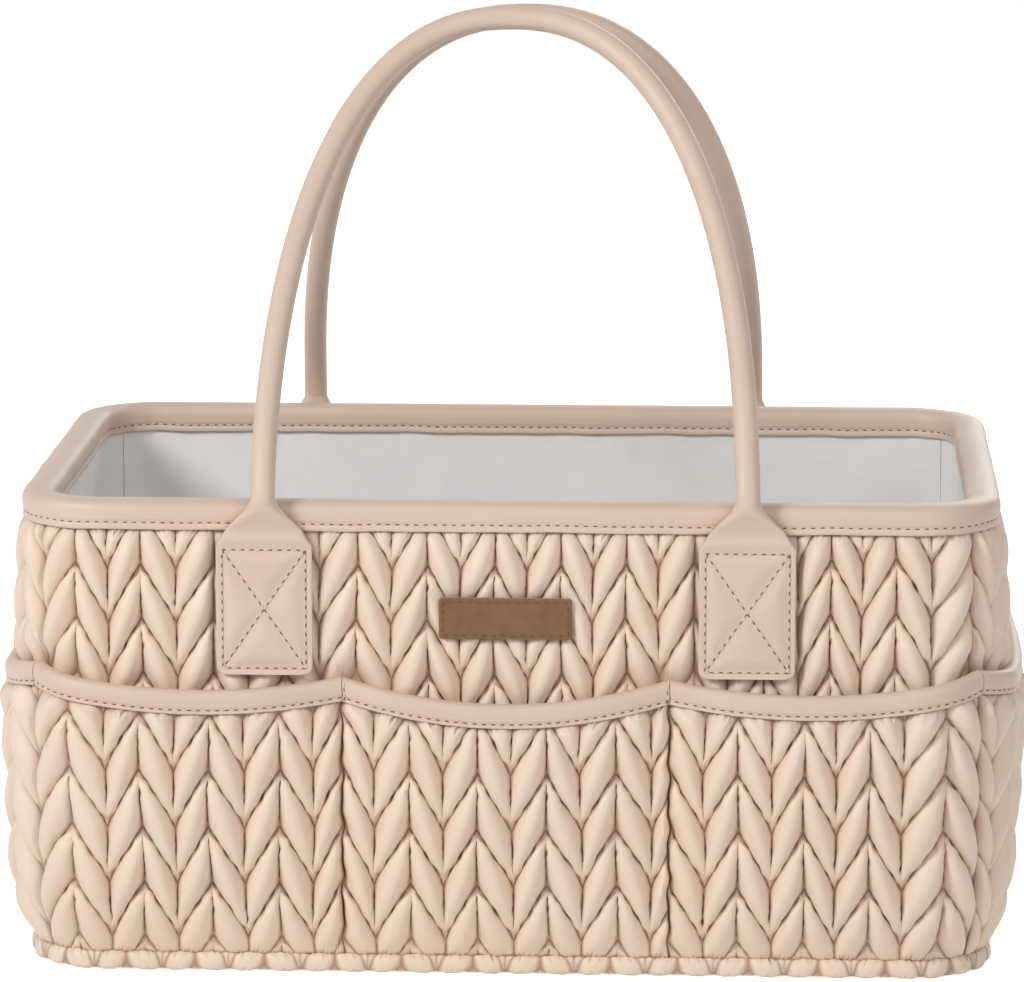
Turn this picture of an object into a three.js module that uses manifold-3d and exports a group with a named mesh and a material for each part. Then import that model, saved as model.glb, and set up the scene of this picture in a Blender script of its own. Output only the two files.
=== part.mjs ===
// Quilted diaper caddy in padded faux leather, in millimetres, +Z up.
// The origin is on the floor under the middle of the base, and the front, with the label, faces -Y.
// The caddy is a sewn box: stiffened walls with a leaf-quilted skin outside and a lining inside,
// a bound rim, eight quilted pockets round the outside, two rolled handles that swing on sewn tabs,
// and two padded dividers that lift out of their hook-and-loop strips.

import * as THREE from 'three';
import { mergeVertices } from 'three/addons/utils/BufferGeometryUtils.js';
import Module from 'manifold-3d';

const wasm = await Module();
wasm.setup();
const { clamp, degToRad, lerp, smoothstep } = THREE.MathUtils;

// Body
const RIM_WIDTH = 400; // over the rim binding, left to right
const RIM_DEPTH = 250; // over the rim binding, front to back
const BODY_HEIGHT = 196.5; // floor to the top of the rim
const CORNER_RADIUS = 30; // at the outer face of the stiffener
const CORNER_STEPS = 6; // facets in each rounded corner, an even number
const FIT = 0.3; // gap between layers that lie on each other

// Wall layers, from the inside out
const LINING_THICKNESS = 1;
const STIFFENER_THICKNESS = 4;
const QUILT_THICKNESS = 3.2; // of the padded skin along its seams
const QUILT_PUFF = 5.8; // rise of a leaf above its seams

// Leaf quilting: slanted cells between vertical seams, meeting in chevrons that point down
const LEAF_WIDTH = 14;
const LEAF_PITCH = 22; // length of a cell along the vertical seam
const LEAF_DROP = 25; // fall of the slanted seam over one cell's width
const LEAF_SHIFT = 4.5; // from the middle of a side to the nearest valley
const LEAF_FADE = 12; // distance from a sewn edge over which a leaf is pressed flat
const LEAF_EDGE_PUFF = 0.35; // share of the puff that is left at a sewn edge
const WALL_ROW_HEIGHT = 17; // height of a chevron point on the walls, plus whole pitches
const POCKET_ROW_HEIGHT = 20.5; // and on the pockets

// Rim binding
const RIM_BINDING_THICKNESS = 1.8;
const RIM_BINDING_HEIGHT = 12;
const RIM_CROWN_RADIUS = 4.5;

// Base
const BASE_PAD_HEIGHT = 8.8;
const BASE_PAD_OVERHANG = 1.5; // beyond the outer face of the stiffener
const BASE_PAD_ROUNDING = 2.8;
const BASE_BOARD_THICKNESS = 3;
const FLOOR_LINING_THICKNESS = 1;

// Pockets
const POCKET_SEAM_X = 66.3; // seams between the middle pocket and its neighbours
const POCKET_SEAM_HEIGHT = 125; // top edge at those seams
const POCKET_CORNER_RISE = 3; // how much higher the top edge is at the corner seams
const MIDDLE_POCKET_DIP = 9;
const OUTER_POCKET_DIP = 5.8;
const END_POCKET_DIP = 10;
const LONG_SIDE_BULGE = 8; // how far a pocket of the long sides stands open
const END_BULGE = 8;
const POCKET_BINDING_THICKNESS = 1.5;
const POCKET_BINDING_HEIGHT = 9.6;
const POCKET_CROWN_RADIUS = 2.4;

// Handles and their tabs
const HANDLE_SPAN = 195; // between the middles of the two limbs
const HANDLE_RISE = 184.5; // from the rim to the middle of the tube at its apex
const HANDLE_ROUNDNESS = 2.3; // exponent of the arch's superellipse
const HANDLE_SWAY = 3; // how far a handle's apex hangs to its own left
const HANDLE_DIAMETER = 10;
const HANDLE_CORE_DIAMETER = 6.6;
const HANDLE_STEPS = 18;
const HANDLE_SIDES = 8;
const RIM_CLEARANCE = 0.5; // between the rim and a handle's foot
const TAB_WIDTH = 39;
const TAB_THICKNESS = 2.5;
const TAB_CORNER_RADIUS = 3.5;
const TAB_ABOVE_POCKET = 1; // from the pocket seam's top to the tab's lower edge
const TAB_SHOULDER_DROP = 17.8; // from the rim's top to where the tab starts to narrow
const TAB_POINTS = 12;
const TAB_NECK_STEPS = 4;
const TAB_STANDOFF = 0.9; // between the rim binding and the tab's back

// Label
const LABEL_WIDTH = 54;
const LABEL_HEIGHT = 17;
const LABEL_THICKNESS = 1.4;
const LABEL_CORNER_RADIUS = 1.5;
const LABEL_BELOW_RIM = 26.2; // from the binding's lower edge to the label's top

// Dividers
const DIVIDER_X = 62; // middle of each divider
const DIVIDER_THICKNESS = 5;
const DIVIDER_HEIGHT = 130;
const DIVIDER_CORNER_RADIUS = 14;
const DIVIDER_FOOT_RADIUS = 1.5;
const TAPE_WIDTH = 20; // of the loop tape; the hook tape is as wide as the divider's edge
const TAPE_MARGIN = 18; // bare length at a tape's ends
const LOOP_TAPE_THICKNESS = 1.5;
const HOOK_TAPE_THICKNESS = 1.2;

// Offsets from the stiffener's outer face, outwards positive
const WALL_FACE = FIT + QUILT_THICKNESS;
const RIM_OUTSIDE = WALL_FACE + FIT + RIM_BINDING_THICKNESS;
const LINING_OUTSIDE = -(STIFFENER_THICKNESS + FIT);
const LINING_INSIDE = LINING_OUTSIDE - LINING_THICKNESS;
const RIM_INSIDE = LINING_INSIDE - FIT - RIM_BINDING_THICKNESS;
const TAB_BACK = RIM_OUTSIDE + TAB_STANDOFF;
const HINGE_OFFSET = RIM_OUTSIDE + RIM_CLEARANCE + HANDLE_DIAMETER / 2;

// Plan of the stiffener's outer face: a rectangle with round corners
const HALF_WIDTH = RIM_WIDTH / 2 - RIM_OUTSIDE;
const HALF_DEPTH = RIM_DEPTH / 2 - RIM_OUTSIDE;
const FRONT_FLAT = HALF_WIDTH - CORNER_RADIUS; // half the straight length of a long side
const END_FLAT = HALF_DEPTH - CORNER_RADIUS; // half the straight length of an end
const CORNER_RUN = (CORNER_RADIUS + WALL_FACE + QUILT_PUFF / 2) * Math.PI / 2;
const LEAF_TURN = Math.PI / 2 * LEAF_WIDTH / CORNER_RUN;
const CORNER_LIFT = (CORNER_RADIUS + WALL_FACE + QUILT_THICKNESS) * (1 - Math.cos(LEAF_TURN / 2));

// Heights
const WALL_BOTTOM = BASE_PAD_HEIGHT + FIT;
const WALL_TOP = BODY_HEIGHT - RIM_BINDING_THICKNESS - FIT;
const QUILT_TOP = BODY_HEIGHT - RIM_BINDING_HEIGHT - FIT;
const LINING_BOTTOM = WALL_BOTTOM + BASE_BOARD_THICKNESS + FIT;
const FLOOR_TOP = LINING_BOTTOM + FLOOR_LINING_THICKNESS;
const CUT_MARGIN = 1; // how far a cutting outline reaches past what it cuts

const quiltLeather = new THREE.MeshStandardMaterial({ color: '#ead9c9', roughness: 0.55, metalness: 0 });
const smoothLeather = new THREE.MeshStandardMaterial({ color: '#e4cfbd', roughness: 0.45, metalness: 0 });
const suede = new THREE.MeshStandardMaterial({ color: '#96705a', roughness: 0.9, metalness: 0 });
const liningCloth = new THREE.MeshStandardMaterial({ color: '#d5d7dc', roughness: 0.85, metalness: 0 });
const board = new THREE.MeshStandardMaterial({ color: '#9a8a76', roughness: 0.8, metalness: 0 });
const tape = new THREE.MeshStandardMaterial({ color: '#dccfc2', roughness: 0.95, metalness: 0 });
const cord = new THREE.MeshStandardMaterial({ color: '#efe9df', roughness: 0.9, metalness: 0 });

// A side of the caddy, built to face -Y, with the straight half-lengths of itself and its neighbours.
// Its panels end in the middle of the rounded corners. In place(), the run is measured from the side's
// middle, positive to the right seen from outside, and the offset from the stiffener's outer face.
function makeSide(flat, neighbourFlat) {
  const place = (run, offset, z) => {
    const along = Math.abs(run);
    const turn = Math.max(along - flat, 0) / CORNER_RUN * Math.PI / 2;
    const reach = CORNER_RADIUS + offset;
    const x = Math.min(along, flat) + reach * Math.sin(turn);
    return new THREE.Vector3(Math.sign(run) * x, -neighbourFlat - reach * Math.cos(turn), z);
  };

  // Round the corners a leaf's straight facets would cut inside the curve, so they stand further out
  const raised = (run, offset, z) => {
    const turning = clamp((Math.abs(run) - flat + LEAF_WIDTH) / LEAF_WIDTH, 0, 1);
    return place(run, offset + CORNER_LIFT * turning, z);
  };
  return { flat, end: flat + CORNER_RUN / 2, place, raised };
}

const longSide = makeSide(FRONT_FLAT, END_FLAT);
const shortSide = makeSide(END_FLAT, FRONT_FLAT);

// Ring round the whole caddy at one offset and height.
function wallLoop(offset, z) {
  const reach = CORNER_RADIUS + offset;
  const ring = [];
  for (const [right, back, quarter] of [[1, 1, 0], [-1, 1, 1], [-1, -1, 2], [1, -1, 3]]) {
    for (let step = 0; step <= CORNER_STEPS; step += 1) {
      const angle = (quarter + step / CORNER_STEPS) * Math.PI / 2;
      const x = right * FRONT_FLAT + reach * Math.cos(angle);
      const y = back * END_FLAT + reach * Math.sin(angle);
      ring.push(new THREE.Vector3(x, y, z));
    }
  }
  return ring;
}

// Geometry of a closed body, with its faces turned outwards.
function closedBody(points, faces) {
  let volume = 0;
  for (const [a, b, c] of faces) {
    volume += points[a].dot(new THREE.Vector3().crossVectors(points[b], points[c]));
  }
  const outward = volume > 0 ? faces : faces.map(([a, b, c]) => [a, c, b]);
  const geometry = new THREE.BufferGeometry();
  const positions = points.flatMap((point) => point.toArray());
  geometry.setAttribute('position', new THREE.Float32BufferAttribute(positions, 3));
  geometry.setIndex(outward.flat());
  geometry.computeVertexNormals();
  return geometry;
}

// Body through a row of rings with equal counts of points. The row closes on itself, or its two
// ends are capped by triangles over the points of a ring.
function loft(rings, { closed = false, cap = null } = {}) {
  const count = rings[0].length;
  const faces = [];
  const rows = closed ? rings.length : rings.length - 1;
  for (let row = 0; row < rows; row += 1) {
    const here = row * count;
    const next = ((row + 1) % rings.length) * count;
    for (let i = 0; i < count; i += 1) {
      const j = (i + 1) % count;
      faces.push([here + i, here + j, next + j], [here + i, next + j, next + i]);
    }
  }
  if (!closed) {
    const fan = Array.from({ length: count - 2 }, (_, i) => [0, i + 1, i + 2]);
    const last = (rings.length - 1) * count;
    for (const [a, b, c] of cap ?? fan) {
      faces.push([a, c, b], [last + a, last + b, last + c]);
    }
  }
  return closedBody(rings.flat(), faces);
}

// Strip along a wall: one profile of (depth, height) points at each station.
function strip(stations, profile, place, cap = null) {
  const rings = stations.map((run) => profile.map(({ x, y }) => place(run, x, y)));
  return loft(rings, { cap });
}

// Rectangle with its points listed anticlockwise, and further points along its top edge.
function rectangle(left, right, bottom, top, stops = []) {
  const corners = [[left, bottom], [right, bottom], [right, top]];
  const along = stops.map((x) => [x, top]);
  return [...corners, ...along, [left, top]].map(([x, y]) => new THREE.Vector2(x, y));
}

// Folded tape that straddles an edge at height 0, with a rounded crown and its slot open below.
function bindingProfile({ inside, outside, height, thickness, crown, crownTurns }) {
  const profile = [new THREE.Vector2(outside, -height)];
  for (const [side, edge, turns] of [[1, outside, crownTurns], [-1, inside, crownTurns.toReversed()]]) {
    for (const turn of turns.map(degToRad)) {
      const x = edge - side * crown * (1 - Math.cos(turn));
      profile.push(new THREE.Vector2(x, -crown * (1 - Math.sin(turn))));
    }
  }
  profile.push(new THREE.Vector2(inside, -height));
  profile.push(...[
    [inside + thickness, -height],
    [inside + thickness, -thickness],
    [outside - thickness, -thickness],
    [outside - thickness, -height],
  ].map(([x, y]) => new THREE.Vector2(x, y)));
  return profile;
}

function leafSeam(column) {
  return LEAF_SHIFT + column * LEAF_WIDTH;
}

// Stations from one end of a run to the other: every second vertical seam on the flat, each one where
// a corner turns, and any others that are asked for.
function seamStations(side, from, to, others = []) {
  const stations = [from, to, ...others];
  for (let column = Math.ceil((from - LEAF_SHIFT) / LEAF_WIDTH); leafSeam(column) < to; column += 1) {
    const run = leafSeam(column);
    const turning = Math.abs(run) > side.flat - LEAF_WIDTH;
    if (run > from && (turning || column % 2 === 0)) {
      stations.push(run);
    }
  }
  return stations.sort((a, b) => a - b);
}

// Stations along a whole panel: its flat and its half of both rounded corners.
function panelStations({ flat, end }) {
  const steps = CORNER_STEPS / 2;
  const corner = Array.from({ length: steps + 1 }, (_, i) => lerp(flat, end - FIT / 2, i / steps));
  return [...corner.map((run) => -run).reverse(), ...corner];
}

// Solids for joining and cutting
function toSolid(geometry) {
  const bare = geometry.clone();
  bare.deleteAttribute('normal');
  bare.deleteAttribute('uv');
  const merged = mergeVertices(bare);
  const mesh = new wasm.Mesh({
    numProp: 3,
    vertProperties: new Float32Array(merged.attributes.position.array),
    triVerts: new Uint32Array(merged.index.array),
  });
  return new wasm.Manifold(mesh);
}

function toGeometry(solid) {
  const mesh = solid.getMesh();
  const geometry = new THREE.BufferGeometry();
  geometry.setAttribute('position', new THREE.BufferAttribute(mesh.vertProperties, 3));
  geometry.setIndex(new THREE.BufferAttribute(mesh.triVerts, 1));
  geometry.computeVertexNormals();
  return geometry;
}

// Padded sheet sewn into leaves, larger than the run and heights that are cut from it. Even seams are
// the chevrons' valleys and odd ones their peaks. Each leaf is a slanted cell that swells to its middle,
// and depth is measured from the sheet's nominal back, which is plain, with few rows.
function leafSheet({ from, to, bottom, top, rowHeight, back, backLevels, seam, puff, place }) {
  const firstSeam = Math.floor((from - CUT_MARGIN - LEAF_SHIFT) / LEAF_WIDTH);
  const lastSeam = Math.ceil((to + CUT_MARGIN - LEAF_SHIFT) / LEAF_WIDTH);
  const firstRow = Math.floor((bottom - CUT_MARGIN - LEAF_DROP - rowHeight) / LEAF_PITCH);
  const lastRow = Math.ceil((top + CUT_MARGIN - rowHeight) / LEAF_PITCH);
  const rows = lastRow - firstRow + 1;
  const isPeak = (column) => Math.abs(column % 2) === 1;
  const heightAt = (column, row) => rowHeight + row * LEAF_PITCH + (isPeak(column) ? LEAF_DROP : 0);
  const points = [];
  const faces = [];

  // Corners of the cells on the front, then the plain grid on the back
  for (let column = firstSeam; column <= lastSeam; column += 1) {
    for (let row = firstRow; row <= lastRow; row += 1) {
      points.push(place(leafSeam(column), seam, heightAt(column, row)));
    }
  }
  const backStart = points.length;
  for (let column = firstSeam; column <= lastSeam; column += 1) {
    for (let level = 0; level <= backLevels; level += 1) {
      const row = lerp(firstRow, lastRow, level / backLevels);
      points.push(place(leafSeam(column), back, heightAt(column, row)));
    }
  }
  const front = (column, row) => (column - firstSeam) * rows + row - firstRow;
  const behind = (column, level) => backStart + (column - firstSeam) * (backLevels + 1) + level;

  for (let column = firstSeam; column < lastSeam; column += 1) {
    for (let row = firstRow; row < lastRow; row += 1) {
      const run = leafSeam(column + 0.5);
      const z = rowHeight + row * LEAF_PITCH + (LEAF_PITCH + LEAF_DROP) / 2;
      const crown = points.push(place(run, seam + puff(run, z), z)) - 1;
      const [low, lowNext] = [front(column, row), front(column + 1, row)];
      const corners = [low, lowNext, lowNext + 1, low + 1];
      corners.forEach((corner, i) => faces.push([corner, corners[(i + 1) % 4], crown]));
    }
    for (let level = 0; level < backLevels; level += 1) {
      const [a, b] = [behind(column, level), behind(column + 1, level)];
      faces.push([a, a + 1, b + 1], [a, b + 1, b]);
    }
    faces.push([front(column, firstRow), behind(column, 0), front(column + 1, firstRow)]);
    faces.push([front(column + 1, firstRow), behind(column, 0), behind(column + 1, 0)]);
    faces.push([front(column + 1, lastRow), behind(column + 1, backLevels), front(column, lastRow)]);
    faces.push([front(column, lastRow), behind(column + 1, backLevels), behind(column, backLevels)]);
  }

  // The two upright edges fan from the back's lowest corner
  for (const [column, turn] of [[firstSeam, 1], [lastSeam, -1]]) {
    const corner = behind(column, 0);
    const rim = [];
    for (let row = firstRow; row <= lastRow; row += 1) {
      rim.push(front(column, row));
    }
    for (let level = backLevels; level > 0; level -= 1) {
      rim.push(behind(column, level));
    }
    for (let i = 1; i < rim.length; i += 1) {
      faces.push(turn > 0 ? [rim[i], corner, rim[i - 1]] : [rim[i - 1], corner, rim[i]]);
    }
  }
  return toSolid(closedBody(points, faces));
}

// Share of the puff that is left near sewn edges, from the distances to them.
function pressed(...distances) {
  const nearest = Math.min(...distances);
  return lerp(LEAF_EDGE_PUFF, 1, clamp(nearest / LEAF_FADE, 0, 1));
}

// Top edge of a pocket: a line between its two ends that dips in the middle.
function pocketEdge({ from, to, fromHeight, toHeight, dip }) {
  return (run) => {
    const share = clamp((run - from) / (to - from), 0, 1);
    return lerp(fromHeight, toHeight, share) - 4 * dip * share * (1 - share);
  };
}

function makePocket({ side, from, to, fromHeight, toHeight, dip, bulge }) {
  const edge = pocketEdge({ from, to, fromHeight, toHeight, dip });
  const middle = (from + to) / 2;
  const half = (to - from) / 2;

  // The bag of a pocket stands off the wall most at the middle of its mouth
  const standOff = (run, z) => {
    const across = clamp((run - middle) / half, -1, 1);
    const up = clamp((z - WALL_BOTTOM) / (edge(run) - WALL_BOTTOM), 0, 1);
    const hemRoom = POCKET_BINDING_THICKNESS + FIT;
    return FIT + hemRoom * up + bulge * (1 - across ** 2) * (1 - (1 - up) ** 2);
  };
  return {
    side,
    from: from + FIT / 2,
    to: to - FIT / 2,
    edge,
    place: (run, depth, z) => side.raised(run, WALL_FACE + standOff(run, z) + depth, z),
  };
}

const POCKET_CORNER_HEIGHT = POCKET_SEAM_HEIGHT + POCKET_CORNER_RISE;
const middlePocket = makePocket({
  side: longSide,
  from: -POCKET_SEAM_X,
  to: POCKET_SEAM_X,
  fromHeight: POCKET_SEAM_HEIGHT,
  toHeight: POCKET_SEAM_HEIGHT,
  dip: MIDDLE_POCKET_DIP,
  bulge: LONG_SIDE_BULGE,
});
const rightPocket = makePocket({
  side: longSide,
  from: POCKET_SEAM_X,
  to: longSide.end,
  fromHeight: POCKET_SEAM_HEIGHT,
  toHeight: POCKET_CORNER_HEIGHT,
  dip: OUTER_POCKET_DIP,
  bulge: LONG_SIDE_BULGE,
});
const leftPocket = makePocket({
  side: longSide,
  from: -longSide.end,
  to: -POCKET_SEAM_X,
  fromHeight: POCKET_CORNER_HEIGHT,
  toHeight: POCKET_SEAM_HEIGHT,
  dip: OUTER_POCKET_DIP,
  bulge: LONG_SIDE_BULGE,
});
const endPocket = makePocket({
  side: shortSide,
  from: -shortSide.end,
  to: shortSide.end,
  fromHeight: POCKET_CORNER_HEIGHT,
  toHeight: POCKET_CORNER_HEIGHT,
  dip: END_POCKET_DIP,
  bulge: END_BULGE,
});

// Top edge of whichever pocket covers a run of the long side.
function longSideEdge(run) {
  const pocket = Math.abs(run) < POCKET_SEAM_X ? middlePocket : rightPocket;
  return pocket.edge(Math.abs(run));
}

// Quilted pocket panel with the flat hem that its binding folds over.
function pocketPanel({ side, from, to, edge, place }) {
  const stations = seamStations(side, from, to);
  const quiltTop = (run) => edge(run) - POCKET_BINDING_HEIGHT - FIT;
  const highest = Math.max(...stations.map(edge));
  const sheet = leafSheet({
    from,
    to,
    bottom: WALL_BOTTOM,
    top: highest,
    rowHeight: POCKET_ROW_HEIGHT,
    back: 0,
    backLevels: 2,
    seam: QUILT_THICKNESS,
    puff: (run, z) => QUILT_PUFF * pressed(run - from, to - run, z - WALL_BOTTOM, quiltTop(run) - z),
    place,
  });
  const inside = -LONG_SIDE_BULGE / 2;
  const outside = QUILT_THICKNESS + QUILT_PUFF + LONG_SIDE_BULGE;
  const underBinding = [QUILT_THICKNESS + FIT + POCKET_BINDING_THICKNESS, -FIT - POCKET_BINDING_THICKNESS];
  const outlineProfile = rectangle(inside, outside, 0, 1, underBinding);
  const outline = strip(stations, outlineProfile, (run, depth, share) => (
    place(run, depth, lerp(WALL_BOTTOM, quiltTop(run), share))
  ));
  const seat = FIT / 2; // keeps the hem's faces just inside those of the quilting
  const hemBottom = -POCKET_BINDING_HEIGHT - FIT - CUT_MARGIN;
  const hemTop = -POCKET_BINDING_THICKNESS - FIT;
  const hemProfile = rectangle(seat, QUILT_THICKNESS - seat, hemBottom, hemTop);
  const hem = strip(stations, hemProfile, (run, depth, drop) => place(run, depth, edge(run) + drop));
  return toGeometry(sheet.intersect(toSolid(outline)).add(toSolid(hem)));
}

function pocketBinding({ side, from, to, edge, place }) {
  const profile = bindingProfile({
    inside: -FIT - POCKET_BINDING_THICKNESS,
    outside: QUILT_THICKNESS + FIT + POCKET_BINDING_THICKNESS,
    height: POCKET_BINDING_HEIGHT,
    thickness: POCKET_BINDING_THICKNESS,
    crown: POCKET_CROWN_RADIUS,
    crownTurns: [0, 90],
  });
  const alongEdge = (run, depth, drop) => place(run, depth, edge(run) + drop);
  const cap = THREE.ShapeUtils.triangulateShape(profile, []);
  return strip(seamStations(side, from, to), profile, alongEdge, cap);
}

// Quilted skin of a wall: a flat padded slab whose leaves stand out above the pockets, less the
// seats in which tabs or a label are sewn down.
function wallQuilt({ side, pocketSeams, edge, seats }) {
  const { place } = side;
  const stations = panelStations(side);
  const slabProfile = rectangle(FIT, WALL_FACE, WALL_BOTTOM, WALL_TOP);
  const slab = toSolid(strip(stations, slabProfile, place));
  const from = stations[0];
  const to = stations[stations.length - 1];
  const reliefBottom = (run) => edge(run) + CUT_MARGIN;
  const outlineStations = seamStations(side, from, to, pocketSeams);
  const lowest = Math.min(...outlineStations.map(reliefBottom));
  const overlap = FIT / 2; // lifts the leaves' seams just clear of the slab's face
  const sheet = leafSheet({
    from,
    to,
    bottom: lowest,
    top: QUILT_TOP,
    rowHeight: WALL_ROW_HEIGHT,
    back: FIT + QUILT_THICKNESS / 2,
    backLevels: 1,
    seam: WALL_FACE + overlap,
    puff: (run, z) => QUILT_PUFF * pressed(z - reliefBottom(run), QUILT_TOP - z),
    place: side.raised,
  });
  const outlineProfile = rectangle(0, WALL_FACE + 2 * QUILT_PUFF, 0, 1);
  const outline = strip(outlineStations, outlineProfile, (run, depth, share) => (
    place(run, depth, lerp(reliefBottom(run), QUILT_TOP, share))
  ));
  const leaves = sheet.intersect(toSolid(outline));
  return toGeometry(seats.reduce((solid, seat) => solid.subtract(seat), slab.add(leaves)));
}

// Box of air in front of the long side, for what is sewn flat on the leaves.
function seat(middle, width, bottom, top) {
  const depth = 2 * QUILT_PUFF;
  const block = new THREE.BoxGeometry(width + 2 * CUT_MARGIN, depth, top - bottom + 2 * CUT_MARGIN);
  block.translate(middle, -(HALF_DEPTH + TAB_BACK - FIT + depth / 2), (bottom + top) / 2);
  return toSolid(block);
}

// Handle tab: a flat strap with round lower corners whose shoulders roll up into the handle's tube.
// The neck ends just below the tube's round foot, so that the tube can swing out over it.
const TAB_BOTTOM = POCKET_SEAM_HEIGHT + TAB_ABOVE_POCKET;
const TAB_SHOULDER = BODY_HEIGHT - TAB_SHOULDER_DROP;
const NECK_TOP = BODY_HEIGHT - HANDLE_DIAMETER / 2 - RIM_CLEARANCE;
const STRAP_SQUARENESS = 8; // superellipse exponent of the flat strap's section

function tabRing(middle, { width, thickness, offset, z, squareness }) {
  return Array.from({ length: TAB_POINTS }, (_, i) => {
    const angle = 2 * Math.PI * i / TAB_POINTS;
    const round = (value) => Math.sign(value) * Math.abs(value) ** (2 / squareness);
    const outward = thickness / 2 * round(Math.sin(angle));
    const x = middle + width / 2 * round(Math.cos(angle));
    return new THREE.Vector3(x, -(HALF_DEPTH + offset + outward), z);
  });
}

function handleTab(middle) {
  const flat = {
    thickness: TAB_THICKNESS,
    offset: TAB_BACK + TAB_THICKNESS / 2,
    squareness: STRAP_SQUARENESS,
  };
  const rings = [0, 45, 90].map(degToRad).map((turn) => tabRing(middle, {
    ...flat,
    width: TAB_WIDTH - 2 * TAB_CORNER_RADIUS * (1 - Math.sin(turn)),
    z: TAB_BOTTOM + TAB_CORNER_RADIUS * (1 - Math.cos(turn)),
  }));
  for (let step = 0; step <= TAB_NECK_STEPS; step += 1) {
    const share = step / TAB_NECK_STEPS;
    const eased = smoothstep(share, 0, 1);
    rings.push(tabRing(middle, {
      width: lerp(TAB_WIDTH, HANDLE_DIAMETER, eased),
      thickness: lerp(TAB_THICKNESS, HANDLE_DIAMETER, share),
      offset: lerp(flat.offset, HINGE_OFFSET, share),
      z: lerp(TAB_SHOULDER, NECK_TOP, share),
      squareness: lerp(STRAP_SQUARENESS, 2, eased),
    }));
  }
  return loft(rings);
}

// Middle line of a handle, in a frame whose X axis is the hinge: a flat superelliptic arch between the
// tabs that leans inwards until it rests against the other handle.
const HANDLE_RADIUS = HANDLE_DIAMETER / 2;
const HINGE_Y = HALF_DEPTH + HINGE_OFFSET;
const HANDLE_LEAN = HINGE_Y - HANDLE_RADIUS - FIT / 2;

class HandleArch extends THREE.Curve {
  getPoint(share) {
    const angle = Math.PI * share;
    const power = 2 / HANDLE_ROUNDNESS;
    const across = -Math.sign(Math.cos(angle)) * Math.abs(Math.cos(angle)) ** power;
    const up = Math.abs(Math.sin(angle)) ** power;
    const x = HANDLE_SPAN / 2 * across - HANDLE_SWAY * up;
    return new THREE.Vector3(x, HANDLE_LEAN * up, HANDLE_RISE * up);
  }
}

// Rings of one radius along the arch, with extra ones past each foot at the given (past, radius).
function archRings(radius, feet, sides) {
  const arch = new HandleArch();
  const { tangents, normals, binormals } = arch.computeFrenetFrames(HANDLE_STEPS, false);
  const ringAt = (step, past, size) => {
    const middle = arch.getPointAt(step / HANDLE_STEPS).addScaledVector(tangents[step], past);
    return Array.from({ length: sides }, (_, i) => {
      const angle = 2 * Math.PI * i / sides;
      return middle.clone()
        .addScaledVector(normals[step], size * Math.cos(angle))
        .addScaledVector(binormals[step], size * Math.sin(angle));
    });
  };
  const along = Array.from({ length: HANDLE_STEPS + 1 }, (_, step) => ringAt(step, 0, radius));
  const first = feet.map(({ past, size }) => ringAt(0, -past, size)).reverse();
  const last = feet.map(({ past, size }) => ringAt(HANDLE_STEPS, past, size));
  return [...first, ...along, ...last];
}

// The feet of cover and core together round off as a ball about the hinge.
const COVER_LIP_SHARE = 0.4; // lip's radius, from the bore to the outside
const CORE_FOOT_SHARES = [1, 0.6, 0.15]; // rings of the core's end, as shares of its radius

function ballFoot(size) {
  return { past: Math.sqrt(HANDLE_RADIUS ** 2 - size ** 2), size };
}

function handleCover() {
  const bore = HANDLE_CORE_DIAMETER / 2 + FIT;
  const lip = ballFoot(lerp(bore, HANDLE_RADIUS, COVER_LIP_SHARE));
  const outside = archRings(HANDLE_RADIUS, [lip], HANDLE_SIDES);
  const inside = archRings(bore, [{ past: lip.past, size: bore }], HANDLE_SIDES);
  return loft([...outside, ...inside.reverse()], { closed: true });
}

function handleCore() {
  const radius = HANDLE_CORE_DIAMETER / 2;
  const feet = CORE_FOOT_SHARES.map((share) => ballFoot(radius * share));
  return loft(archRings(radius, feet, HANDLE_SIDES - 2));
}

function roundedPlate(width, height, thickness, radii) {
  const [low, high] = radii;
  const shape = new THREE.Shape();
  shape.moveTo(-width / 2 + low, 0);
  shape.lineTo(width / 2 - low, 0);
  shape.absarc(width / 2 - low, low, low, -Math.PI / 2, 0);
  shape.absarc(width / 2 - high, height - high, high, 0, Math.PI / 2);
  shape.absarc(-width / 2 + high, height - high, high, Math.PI / 2, Math.PI);
  shape.absarc(-width / 2 + low, low, low, Math.PI, 1.5 * Math.PI);
  const upright = { depth: thickness, bevelEnabled: false, curveSegments: 2 };
  return new THREE.ExtrudeGeometry(shape, upright).rotateX(Math.PI / 2);
}

function addPiece(group, name, geometry, material) {
  const mesh = new THREE.Mesh(geometry, material);
  mesh.name = name;
  group.add(mesh);
  return mesh;
}

const caddy = new THREE.Group();

// Base: a quilted pad under the board that carries the floor lining
const basePadRings = [
  wallLoop(BASE_PAD_OVERHANG - BASE_PAD_ROUNDING, 0),
  wallLoop(BASE_PAD_OVERHANG, BASE_PAD_ROUNDING),
  wallLoop(BASE_PAD_OVERHANG, BASE_PAD_HEIGHT - BASE_PAD_ROUNDING),
  wallLoop(BASE_PAD_OVERHANG - BASE_PAD_ROUNDING / 2, BASE_PAD_HEIGHT),
];
addPiece(caddy, 'base_quilt', loft(basePadRings), quiltLeather);
const boardEdge = -STIFFENER_THICKNESS - FIT;
const boardRings = [WALL_BOTTOM, WALL_BOTTOM + BASE_BOARD_THICKNESS].map((z) => wallLoop(boardEdge, z));
addPiece(caddy, 'base_board', loft(boardRings), board);
const floorRings = [LINING_BOTTOM, FLOOR_TOP].map((z) => wallLoop(LINING_INSIDE - FIT, z));
addPiece(caddy, 'floor_lining', loft(floorRings), liningCloth);

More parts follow.
